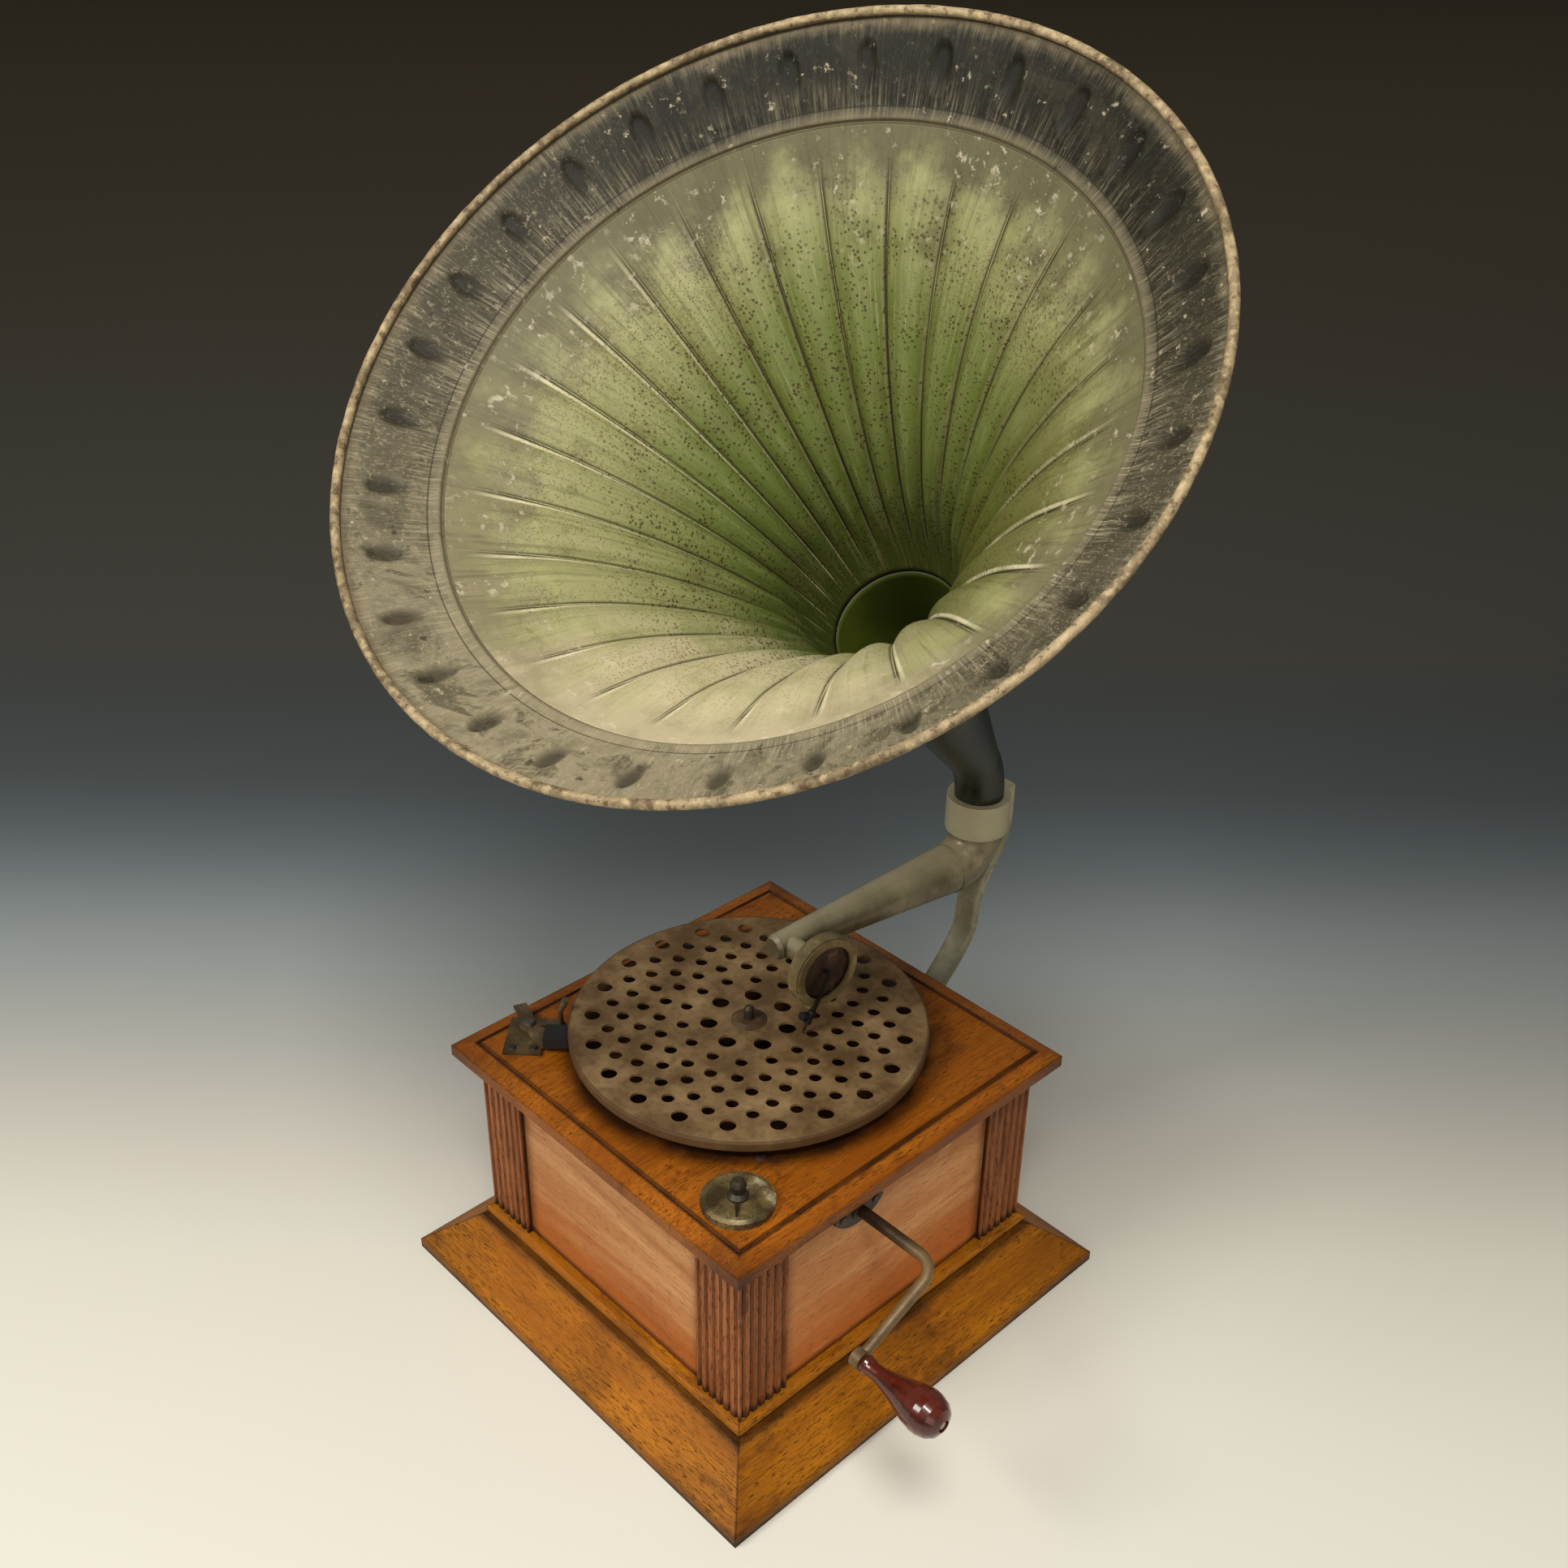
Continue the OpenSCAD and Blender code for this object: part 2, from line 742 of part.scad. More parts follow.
// Brake pad: a leather-faced block whose face follows the turntable's rim
module brake_pad() {
    color("black")
        brake_place()
            translate([0, 0, lever_rise + brake_arm_t])
                difference() {
                    translate([14, -26, 0])
                        cube([18, 16, 8]);
                    translate([table_r + brake_gap, 0, -cut])
                        cylinder(r = table_r + run_gap, h = 8 + 2 * cut, $fn = 180);
                }
}

// Speed dial: a round plate with a milled edge, marked like a clock and bored for the knob's shaft
dial_t = 6;
mill_n = 72;

module speed_dial() {
    color("darkkhaki")
        translate([dial_x, dial_y, deck_z])
            difference() {
                union() {
                    cylinder(r = dial_r, h = dial_t - 1.5);
                    translate([0, 0, dial_t - 1.5])
                        cylinder(r1 = dial_r - 0.4, r2 = dial_r - 3, h = 1.5);
                }
                translate([0, 0, -cut])
                    cylinder(r = knob_shaft_r + fit_gap, h = dial_t + 2 * cut);
                for (i = [0 : mill_n / 3 - 1])
                    rotate([0, 0, 360 / (mill_n / 3) * i])
                        translate([dial_r, 0, -cut])
                            cylinder(r = 0.7, h = dial_t, $fn = 16);
            }
}

// Speed knob: a turned knob with its pointer, shaft and the cam that moves the speed lever
knob_h = 13;
knob_dir = 315;
pointer_l = 15;

module speed_knob() {
    rise = deck_z + dial_t + run_gap;
    away = atan2(dial_y - lever_y, dial_x - lever_x);
    color("darkslategray")
        translate([dial_x, dial_y, 0])
            union() {
                translate([0, 0, disc_z])
                    cylinder(r = knob_shaft_r, h = rise + knob_h / 2 - disc_z);
                translate([0, 0, rise])
                    rotate_extrude()
                        polygon([[0, 0], [knob_r + 1.5, 0], [knob_r + 1.5, 1.5], [knob_r - 1, 4],
                            [knob_r, knob_h - 3], [knob_r - 1, knob_h - 1], [knob_r - 3, knob_h], [0, knob_h]]);
                rotate([0, 0, knob_dir])
                    translate([knob_r - 2, 0, rise])
                        linear_extrude(1.4)
                            polygon([[0, -2], [pointer_l, -0.6], [pointer_l, 0.6], [0, 2]]);
                translate([cam_off * cos(away), cam_off * sin(away), disc_z])
                    cylinder(r = cam_r, h = lever_t);
            }
}

// Speed lever: a bell crank between the knob's cam and the governor's disc
lever_tip_gap = cam_r + run_gap;
tip_away = atan2(dial_y - lever_y, dial_x - lever_x);
tip_reach = norm([dial_x - lever_x, dial_y - lever_y]) - 8;
pad_dir = atan2(gov_y - lever_y, gov_x - lever_x);
pad_reach = norm([gov_x - lever_x, gov_y - lever_y]);
pad_gap = 1.3;
pad_t = 3;
pad_side = disc_r + pad_gap + pad_t;

module speed_lever() {
    color("darkgray")
        translate([lever_x, lever_y, disc_z])
            difference() {
                union() {
                    cylinder(r = stud_r + 3, h = lever_t);
                    rotate([0, 0, tip_away])
                        linear_extrude(lever_t)
                            polygon([[0, -3], [0, 6], [tip_reach + 14, lever_tip_gap + 4],
                                [tip_reach + 14, lever_tip_gap], [tip_reach - 6, lever_tip_gap]]);
                    rotate([0, 0, pad_dir])
                        linear_extrude(lever_t)
                            polygon([[-4, -4], [2, 6], [pad_reach - 10, pad_side + 5], [pad_reach + 6, pad_side + 5],
                                [pad_reach + 6, pad_side], [pad_reach - 8, pad_side]]);
                }
                translate([0, 0, -cut])
                    cylinder(r = stud_r + fit_gap, h = lever_t + 2 * cut);
            }
}

module speed_pad() {
    color("saddlebrown")
        translate([lever_x, lever_y, disc_z])
            rotate([0, 0, pad_dir])
                difference() {
                    translate([pad_reach - 5, disc_r, 0])
                        cube([10, pad_gap + pad_t, lever_t]);
                    translate([pad_reach, 0, -cut])
                        cylinder(r = disc_r + pad_gap, h = lever_t + 2 * cut);
                }
}

// Crank: shaft, bend and tapered arm in one rod, with an eye for the grip's pin
bend_r = 14;
eye_r = 6.5;
eye_t = 7;
joint_step = 0.25;
rod_tip_r = crank_r - 0.9;
pinion_w = 5;
crank_in = arbor_x + crown_r - pinion_w / 2;
crank_end = body_w / 2 + crank_out;

module crank_place() {
    translate([0, crank_y, crank_z])
        children();
}

module crank_rod() {
    color("darkolivegreen")
        crank_place() difference() {
            union() {
                rotate([crank_angle, 0, 0]) {
                    translate([crank_in, 0, 0])
                        rotate([0, 90, 0])
                            cylinder(r = crank_r, h = crank_end - bend_r - crank_in);
                    translate([crank_end - bend_r, -bend_r, 0])
                        rotate_extrude(angle = 90)
                            translate([bend_r, 0])
                                circle(crank_r - joint_step);
                    translate([crank_end, -bend_r, 0])
                        rotate([90, 0, 0])
                            cylinder(r1 = crank_r, r2 = rod_tip_r, h = crank_arm - bend_r);
                    translate([crank_end - eye_t / 2, -crank_arm, 0])
                        rotate([0, 90, 0])
                            cylinder(r = eye_r, h = eye_t);
                }
            }
            rotate([crank_angle, 0, 0])
                translate([crank_end - eye_t / 2 - cut, -crank_arm, 0])
                    rotate([0, 90, 0])
                        cylinder(r = grip_pin_r, h = eye_t + 2 * cut);
        }
}

// Crank pinion: twelve straight teeth that run in the crown wheel's teeth
module crank_pinion() {
    tip = crank_pinion_r + crown_pitch * 0.3;
    root = crank_pinion_r - crown_pitch * 0.36;
    color("goldenrod")
        crank_place()
            translate([crank_in, 0, 0])
                rotate([90, 0, 90])
                    linear_extrude(pinion_w)
                        difference() {
                            union() {
                                circle(root);
                                for (i = [0 : crank_n - 1])
                                    rotate([0, 0, 360 / crank_n * (i + 0.5) - 90])
                                        polygon([[root - 1, -0.85], [tip, -0.4], [tip, 0.4], [root - 1, 0.85]]);
                            }
                            circle(crank_r);
                        }
}

module grip_pin() {
    color("gray")
        crank_place()
            rotate([crank_angle, 0, 0])
                translate([crank_end - eye_t / 2, -crank_arm, 0])
                    rotate([0, 90, 0])
                        union() {
                            cylinder(r = grip_pin_r, h = eye_t + run_gap + grip_l - 3);
                            translate([0, 0, eye_t + run_gap + grip_l - 3])
                                cylinder(r1 = grip_pin_r + 1.4, r2 = grip_pin_r, h = 2);
                            translate([0, 0, -1.2])
                                cylinder(r1 = grip_pin_r, r2 = grip_pin_r + 1.2, h = 1.2);
                        }
}

// Crank grip: a pear-shaped turned handle that runs free on its pin
neck_r = 0.37 * grip_r;
grip_outline = [[neck_r - 0.6, 0], [neck_r + 0.7, 0.02], [neck_r + 1, 0.045], [neck_r + 0.2, 0.075],
    [neck_r - 0.2, 0.12], [neck_r, 0.2], [grip_r * 0.46, 0.3], [grip_r * 0.59, 0.41],
    [grip_r * 0.77, 0.53], [grip_r * 0.92, 0.64], [grip_r, 0.75], [grip_r * 0.98, 0.82],
    [grip_r * 0.87, 0.9], [grip_r * 0.66, 0.96], [grip_r * 0.4, 0.99], [grip_pin_r + 1.6, 1]];

module crank_grip() {
    bore = grip_pin_r + fit_gap;
    color("darkred")
        crank_place()
            rotate([crank_angle, 0, 0])
                translate([crank_end + eye_t / 2 + run_gap, -crank_arm, 0])
                    rotate([0, 90, 0])
                        difference() {
                            rotate_extrude()
                                polygon(concat([[0, 0]],
                                    [for (p = grip_outline) [p[0], p[1] * grip_l]], [[0, grip_l]]));
                            translate([0, 0, -cut])
                                cylinder(r = bore, h = grip_l + 2 * cut);
                            translate([0, 0, grip_l - 3 - run_gap])
                                cylinder(r = grip_pin_r + 1.6, h = 3 + cut);
                        }
}

// Winding group: arbor, crown wheel and ratchet wheel turn together under the crank's pinion
hub_r = 8;

module spring_arbor() {
    color("silver")
        translate([arbor_x, arbor_y, 0])
            union() {
                translate([0, 0, frame_low])
                    cylinder(r = arbor_r, h = frame_top - frame_low);
                translate([0, 0, barrel_z + run_gap])
                    cylinder(r = hub_r, h = barrel_h - 2 * run_gap);
            }
}

module crown_wheel() {
    color("goldenrod")
        translate([arbor_x, arbor_y, crown_z])
            difference() {
                union() {
                    cylinder(r = crown_r + pinion_w / 2 + 1, h = crown_t);
                    translate([0, 0, -3])
                        cylinder(r = hub_r, h = crown_t + 6);
                    for (i = [0 : crown_n - 1])
                        rotate([0, 0, 360 / crown_n * i])
                            translate([crown_r - pinion_w / 2, -crown_tooth_t / 2, crown_t - 0.5])
                                cube([pinion_w, crown_tooth_t, crown_tooth_h + 0.5]);
                }
                translate([0, 0, -4 - cut])
                    cylinder(r = arbor_r, h = crown_t + 12);
            }
}

module ratchet_wheel() {
    teeth = 16;
    color("silver")
        translate([arbor_x, arbor_y, ratchet_z])
            linear_extrude(ratchet_t)
                difference() {
                    polygon([for (i = [0 : teeth - 1]) for (k = [0, 1])
                        let (a = 360 / teeth * (i + 0.08 * k), r = ratchet_r - 2.5 * k)
                        [r * cos(a), r * sin(a)]]);
                    circle(arbor_r);
                }
}

// Click: the pawl that stops the ratchet wheel from running back
module winding_click() {
    nose_dir = 45;
    nose_x = click_reach - (ratchet_r + 0.5) * cos(nose_dir);
    nose_y = (ratchet_r + 0.5) * sin(nose_dir);
    color("dimgray")
        translate([click_x, click_y, ratchet_z])
            rotate([0, 0, click_dir + 180])
                linear_extrude(ratchet_t - 1)
                    difference() {
                        union() {
                            circle(4.5);
                            polygon([[-3, 3.2], [3, -3.2], [nose_x, nose_y], [nose_x - 2.5, nose_y + 1.5]]);
                        }
                        circle(stud_r - 1 + fit_gap);
                    }
}

// Spring barrel: a drum with the great wheel's teeth round its foot, closed by a cover
barrel_wall = 2;

module spring_barrel() {
    phase = atan2(middle_y - arbor_y, middle_x - arbor_x);
    color("goldenrod")
        translate([arbor_x, arbor_y, great_z])
            union() {
                rotate([0, 0, phase])
                    spur(barrel_n, train_m, great_t, arbor_r + fit_gap);
                translate([0, 0, great_t])
                    difference() {
                        cylinder(r = barrel_r, h = barrel_h);
                        translate([0, 0, -cut])
                            cylinder(r = barrel_r - barrel_wall, h = barrel_h + 2 * cut);
                    }
            }
}

module barrel_cover() {
    color("goldenrod")
        translate([arbor_x, arbor_y, cover_z])
            difference() {
                cylinder(r = barrel_r, h = cover_t);
                translate([0, 0, -cut])
                    cylinder(r = arbor_r + fit_gap, h = cover_t + 2 * cut);
            }
}

spring_t = 0.8;
function coil_point(a, d) =
    let (r0 = hub_r + 0.8, r1 = barrel_r - barrel_wall - spring_t / 2,
        r = r0 + (r1 - r0) * a / (360 * spring_turns) + d)
    [r * cos(a), r * sin(a)];

module mainspring() {
    last = 360 * spring_turns;
    color("steelblue")
        translate([arbor_x, arbor_y, barrel_z + 2])
            linear_extrude(barrel_h - 4)
                polygon(concat([for (a = [0 : 15 : last]) coil_point(a, spring_t / 2)],
                    [for (a = [last : -15 : 0]) coil_point(a, -spring_t / 2)]));
}

// Middle arbor: pinion driven by the barrel, wheel driving the spindle
module middle_arbor() {
    phase = atan2(arbor_y - middle_y, arbor_x - middle_x) + 180 / pinion_n;
    color("silver")
        translate([middle_x, middle_y, 0])
            union() {
                translate([0, 0, frame_low])
                    cylinder(r = stud_r, h = frame_top - frame_low);
                translate([0, 0, great_z - 1])
                    rotate([0, 0, phase])
                        spur(pinion_n, train_m, great_t + 2, stud_r - 0.5);
            }
}

module middle_wheel() {
    phase = atan2(spindle_y - middle_y, spindle_x - middle_x);
    color("goldenrod")
        translate([middle_x, middle_y, middle_z])
            rotate([0, 0, phase])
                spur(middle_n, train_m, middle_t, stud_r);
}

// Spindle: runs from the lower plate to the record pin and carries its own pinion
module spindle() {
    phase = atan2(middle_y - spindle_y, middle_x - spindle_x) + 180 / pinion_n;
    color("silver")
        translate([spindle_x, spindle_y, 0])
            union() {
                translate([0, 0, frame_low])
                    cylinder(r = spindle_r, h = table_z + hub_rise - frame_low);
                translate([0, 0, table_z + hub_rise])
                    cylinder(r = pin_r, h = pin_h - hub_rise - pin_r * 0.6);
                translate([0, 0, table_z + pin_h - pin_r * 0.6])
                    cylinder(r1 = pin_r, r2 = pin_r * 0.5, h = pin_r * 0.6);
                translate([0, 0, middle_z - 1])
                    rotate([0, 0, phase])
                        spur(pinion_n, train_m, middle_t + 2, spindle_r - 0.5);
            }
}

// Turntable: a thin perforated plate with seven rings of holes and a turned-down rim
hub_rise = 2.2;
rim_t = 2.2;
ring_small = [0.368, 0.496, 0.602, 0.7, 0.778];

module hole_ring(n, r, hole_r, shift) {
    for (i = [0 : n - 1])
        rotate([0, 0, 360 / n * (i + shift)])
            translate([r, 0])
                circle(hole_r, $fn = 32);
}

module turntable() {
    color("darkkhaki")
        translate([spindle_x, spindle_y, table_z - table_rim_h])
            union() {
                translate([0, 0, table_rim_h - table_t])
                    linear_extrude(table_t)
                        difference() {
                            circle(table_r - rim_t);
                            circle(spindle_r);
                            hole_ring(hub_holes, table_r * 0.223, hub_hole_r, 0.55);
                            hole_ring(2 * hub_holes, table_r * ring_small[0], small_hole_r - 0.2, 0.1);
                            for (k = [1 : 4])
                                hole_ring(3 * hub_holes, table_r * ring_small[k], small_hole_r, k % 2 == 1 ? 0.1 : 0.6);
                            hole_ring(3 * hub_holes, table_r * 0.87, rim_hole_r, 0.1);
                        }
                rotate_extrude($fn = 180)
                    polygon([[table_r - rim_t, 0], [table_r - 0.6, 0], [table_r, 1], [table_r, table_rim_h - 1.6],
                        [table_r - 0.5, table_rim_h - 0.5], [table_r - rim_t, table_rim_h]]);
            }
}

// Hub: the boss under the plate and the raised washer that the record's label rests round
module turntable_hub() {
    color("darkgoldenrod")
        translate([spindle_x, spindle_y, 0])
            difference() {
                union() {
                    translate([0, 0, deck_z + 3])
                        cylinder(r = 12, h = table_z - table_t - deck_z - 3);
                    translate([0, 0, table_z])
                        cylinder(r1 = 13, r2 = 9, h = hub_rise);
                }
                translate([0, 0, deck_z])
                    cylinder(r = spindle_r, h = table_lift + hub_rise + cut);
            }
}

// Governor: fast upright shaft with three weights on flat springs and a friction disc
gov_wheel_z = frame_top - plate_t - 26;
gov_top = gov_wheel_z - 12;
gov_mid = (gov_top + disc_z + disc_t + 4) / 2;
gov_hub_r = 5;

module governor_wheel() {
    color("goldenrod")
        translate([spindle_x, spindle_y, gov_wheel_z])
            union() {
                rotate([0, 0, gov_dir])
                    spur(gov_wheel_n, gov_m, 3, spindle_r);
                translate([0, 0, -4])
                    difference() {
                        cylinder(r = hub_r, h = 4);
                        translate([0, 0, -cut])
                            cylinder(r = spindle_r, h = 4 + 2 * cut);
                    }
            }
}

module governor_shaft() {
    color("silver")
        translate([gov_x, gov_y, 0])
            union() {
                translate([0, 0, frame_low])
                    cylinder(r = stud_r - 1, h = frame_top - frame_low);
                translate([0, 0, gov_wheel_z - 1])
                    rotate([0, 0, gov_dir + 180 + 180 / pinion_n])
                        spur(pinion_n, gov_m, 5, stud_r - 1.5);
                translate([0, 0, gov_top])
                    cylinder(r = gov_hub_r, h = 4);
            }
}

module governor_disc() {
    color("goldenrod")
        translate([gov_x, gov_y, disc_z])
            difference() {
                union() {
                    cylinder(r = disc_r, h = disc_t);
                    cylinder(r = gov_hub_r, h = disc_t + 4);
                }
                translate([0, 0, -cut])
                    cylinder(r = stud_r - 1, h = disc_t + 4 + 2 * cut);
            }
}

spring_bow = 6;
strip_half = 0.25;
bow_low = disc_z + disc_t + 4;
function bow(t) = gov_hub_r + strip_half + spring_bow * pow(sin(180 * t), 2);
bow_path = concat([[bow(0), bow_low - 3]],
    [for (i = [0 : 10]) [bow(i / 10), bow_low + (gov_top - bow_low) * i / 10]],
    [[bow(0), gov_top + 3]]);

module governor_springs() {
    color("steelblue")
        translate([gov_x, gov_y, 0])
            for (a = [0, 120, 240])
                rotate([0, 0, a])
                    translate([0, 2.5, 0])
                        rotate([90, 0, 0])
                            linear_extrude(5)
                                polygon(ribbon(bow_path, 2 * strip_half, 2 * strip_half));
}

module governor_weights() {
    color("goldenrod")
        translate([gov_x, gov_y, 0])
            for (a = [0, 120, 240])
                rotate([0, 0, a])
                    translate([gov_hub_r + spring_bow + 2 * strip_half, 0, gov_mid])
                        rotate([0, 90, 0])
                            cylinder(r = 5, h = 5);
}

// Tone arm: a spigot in the collar, a round elbow and a tapered tube to the sound box
arm_root_r = elbow_r - 0.5;
spigot_h = 10;
arm_top = elbow_z - run_gap;
arm_z = arm_top - elbow_bend;
arm_fall = 0.5;
tip_len = 3;
sleeve_back = 10;

module arm_place() {
    translate([0, collar_y, 0])
        rotate([0, 0, -arm_yaw])
            children();
}

// Lower end of the elbow, turned with the arm's fall
module arm_start() {
    translate([0, -elbow_bend, arm_top])
        rotate([arm_fall, 0, 0])
            translate([0, 0, -elbow_bend])
                children();
}

module ring_tube(r_out, r_in, r_out_end, r_in_end, l) {
    rotate_extrude()
        polygon([[r_in, 0], [r_out, 0], [r_out_end, l], [r_in_end, l]]);
}

module tone_arm() {
    bore_r = collar_bore - fit_gap - tube_wall;
    color("gray")
        arm_place()
            union() {
                translate([0, 0, arm_top])
                    ring_tube(collar_bore - fit_gap, bore_r + joint_step, collar_bore - fit_gap,
                        bore_r + joint_step, spigot_h + run_gap);
                translate([0, -elbow_bend, arm_top])
                    rotate([0, 90, 0])
                        rotate([0, 0, arm_fall])
                            rotate_extrude(angle = 90 - arm_fall)
                                translate([elbow_bend, 0])
                                    difference() {
                                        circle(elbow_r);
                                        circle(bore_r);
                                    }
                arm_start()
                    rotate([90, 0, 0])
                        difference() {
                            union() {
                                cylinder(r1 = arm_root_r, r2 = arm_tip_r, h = arm_l);
                                translate([0, 0, arm_l])
                                    cylinder(r1 = arm_tip_r, r2 = arm_tip_r - 2, h = tip_len);
                                translate([0, 0, arm_l - sleeve_back])
                                    rotate([0, 90, 0])
                                        cylinder(r = sleeve_r, h = box_off - sleeve_gap);
                            }
                            cylinder(r1 = bore_r - joint_step, r2 = arm_tip_r - tube_wall, h = arm_l);
                            translate([-2, 0, arm_l - sleeve_back])
                                rotate([0, 90, 0])
                                    cylinder(r = neck_in + fit_gap, h = box_off);
                        }
            }
}

// Sound box: a cup on a short neck that turns in the side of the tone arm's tip
sleeve_r = 8;
sleeve_gap = 5;
neck_in = 5.6;

module arm_place_tip() {
    arm_start()
        translate([0, sleeve_back - arm_l, 0])
            rotate([-arm_fall, 0, 0])
                children();
}

module box_place() {
    arm_place()
        arm_place_tip()
            translate([box_off, 0, 0])
                children();
}

module soundbox_case() {
    color("darkkhaki")
        box_place()
            rotate([0, 90, 0])
                difference() {
                    union() {
                        translate([0, 0, -box_off + 2])
                            cylinder(r = neck_in, h = box_off - 1);
                        translate([0, 0, -sleeve_gap + 0.5])
                            cylinder(r = 10, h = sleeve_gap);
                        cylinder(r = box_r - 1, h = box_t);
                        translate([0, 0, 1.5])
                            cylinder(r = box_r, h = box_t - 3);
                        rotate([0, 0, -needle_lean])
                            translate([box_r - 4, -4, box_t - 4])
                                cube([5.5, 8, bar_x - 0.7 - box_t + 4]);
                    }
                    translate([0, 0, -box_off])
                        cylinder(r = neck_in - tube_wall, h = box_off + 4);
                    translate([0, 0, 3])
                        cylinder(r = window_r + 2, h = box_t - 5);
                    translate([0, 0, box_t - 3])
                        cylinder(r = window_r, h = 3 + cut);
                }
}

module diaphragm() {
    color("black")
        box_place()
            rotate([0, 90, 0])
                translate([0, 0, box_t - 4])
                    cylinder(r = window_r + 2, h = 0.8);
}

// Needle bar: from the middle of the diaphragm over the rim to the needle's socket
module needle_frame() {
    box_place()
        rotate([-needle_lean, 0, 0])
            children();
}

bar_x = box_t + 1.5;
socket_top = box_r + 2;
socket_l = 10;

module needle_bar() {
    color("dimgray")
        needle_frame()
            difference() {
                union() {
                    translate([box_t - 3.2, 0, 0])
                        rotate([0, 90, 0])
                            cylinder(r = 1.6, h = 5.5);
                    translate([bar_x - 0.7, -1.2, -socket_top - 1])
                        cube([1.6, 2.4, socket_top + 2]);
                    translate([bar_x - 1, 0, -socket_top - socket_l])
                        cylinder(r = 2.8, h = socket_l);
                }
                translate([bar_x - 1, 0, -socket_top - socket_l - cut])
                    cylinder(r = needle_r, h = socket_l - 2 + cut);
                translate([bar_x - 1, 0, -socket_top - socket_l / 2])
                    rotate([90, 0, 0])
                        cylinder(r = 1.2, h = 6);
            }
}

needle_r = 0.9;
arm_tip_z = arm_z - (arm_l - sleeve_back) * sin(arm_fall);
needle_l = (arm_tip_z - table_z - run_gap) / cos(needle_lean) - socket_top - 2;

module needle_screw() {
    color("silver")
        needle_frame()
            translate([bar_x - 1, 0, -socket_top - socket_l / 2])
                rotate([90, 0, 0])
                    union() {
                        translate([0, 0, needle_r])
                            cylinder(r = 1.15, h = 5);
                        translate([0, 0, 3.2])
                            cylinder(r = 3, h = 5);
                    }
}

module needle() {
    color("silver")
        needle_frame()
            translate([bar_x - 1, 0, -socket_top - 2])
                rotate([180, 0, 0])
                    union() {
                        cylinder(r = needle_r, h = needle_l - 4);
                        translate([0, 0, needle_l - 4])
                            cylinder(r1 = needle_r, r2 = 0.25, h = 4);
                    }
}

// Horn: fluted bell, rolled rim and the bent cone that carries them down to the collar
bend_angle = 90 - horn_el;
band_h = 7;
band_t = 2.5;
neck_r_out = collar_bore - fit_gap;
neck_low = collar_z - 12;
cone_start_z = collar_z + neck_bend * sin(bend_angle);
cone_start_y = -neck_bend * (1 - cos(bend_angle));
flare = ln((mouth_r - roll_r) / throat_r) / bell_l;
flute_steps = 4;

function flare_r(z) = throat_r * exp(flare * z);
function flute_fade(z) =
    let (u = z / (bell_l - ring_drop))
    u >= 1 ? 0 : min(1, 0.25 + 3 * u) * min(1, 4 * (1 - u));
function swell(i) = sin(180 * (i % flute_steps) / flute_steps);
function ring_step(z) = abs(z - (bell_l - ring_drop)) < 0.5 ? 1.6 : 0;
function bell_z(k, n) = bell_l * (1 - pow(1 - k / n, 1.35));

module horn_place() {
    translate([0, collar_y, 0])
        rotate([0, 0, horn_yaw])
            children();
}

module bell_place() {
    horn_place()
        translate([0, cone_start_y - cone_l * cos(horn_el), cone_start_z + cone_l * sin(horn_el)])
            rotate([bend_angle, 0, 0])
                children();
}

bell_rings = 13;
ring_z = bell_l - ring_drop;
bell_levels = concat([for (k = [0 : bell_rings]) bell_z(k, bell_rings) * ring_z / bell_l],
    [ring_z + 2.5, ring_z + 5, ring_z + 14, bell_l - 9, bell_l]);
bell_sides = flute_n * flute_steps;

// Inner and outer skin points of the bell, ring by ring
function bell_point(i, z, off) =
    let (dr = flare * flare_r(z), len = norm([1, dr]),
        lift = z > ring_z + 1 && z < ring_z + 4 ? 1.8 : 0,
        r = flare_r(z) - flute_depth * flute_fade(z) * swell(i) * min(1, flare_r(z) / 90) - lift,
        a = 360 / bell_sides * i)
    [(r + off / len) * cos(a), (r + off / len) * sin(a), z - (z > 0 ? off * dr / len : 0)];
bell_n = len(bell_levels);
bell_points = concat(
    [for (z = bell_levels) for (i = [0 : bell_sides - 1]) bell_point(i, z, 0)],
    [for (z = bell_levels) for (i = [0 : bell_sides - 1]) bell_point(i, z, sheet_t)]);
shell = bell_n * bell_sides;
function at(s, k, i) = s * shell + k * bell_sides + i % bell_sides;
bell_faces = concat(
    [for (k = [0 : bell_n - 2]) for (i = [0 : bell_sides - 1])
        [at(0, k, i), at(0, k, i + 1), at(0, k + 1, i + 1)]],
    [for (k = [0 : bell_n - 2]) for (i = [0 : bell_sides - 1])
        [at(0, k, i), at(0, k + 1, i + 1), at(0, k + 1, i)]],
    [for (k = [0 : bell_n - 2]) for (i = [0 : bell_sides - 1])
        [at(1, k, i), at(1, k + 1, i + 1), at(1, k, i + 1)]],
    [for (k = [0 : bell_n - 2]) for (i = [0 : bell_sides - 1])
        [at(1, k, i), at(1, k + 1, i), at(1, k + 1, i + 1)]],
    [for (k = [0, bell_n - 1]) for (i = [0 : bell_sides - 1])
        k == 0 ? [at(0, 0, i), at(1, 0, i + 1), at(0, 0, i + 1)]
            : [at(0, k, i), at(0, k, i + 1), at(1, k, i + 1)]],
    [for (k = [0, bell_n - 1]) for (i = [0 : bell_sides - 1])
        k == 0 ? [at(0, 0, i), at(1, 0, i), at(1, 0, i + 1)]
            : [at(0, k, i), at(1, k, i + 1), at(1, k, i)]]);

module horn_bell() {
    color("darkseagreen")
        bell_place()
            polyhedron(points = bell_points, faces = bell_faces, convexity = 6);
}

module horn_rim() {
    color("tan")
        bell_place()
            translate([0, 0, bell_l + roll_r * 0.8])
                rotate_extrude($fn = 144)
                    translate([mouth_r - roll_r * 0.6, 0])
                        circle(roll_r, $fn = 24);
}

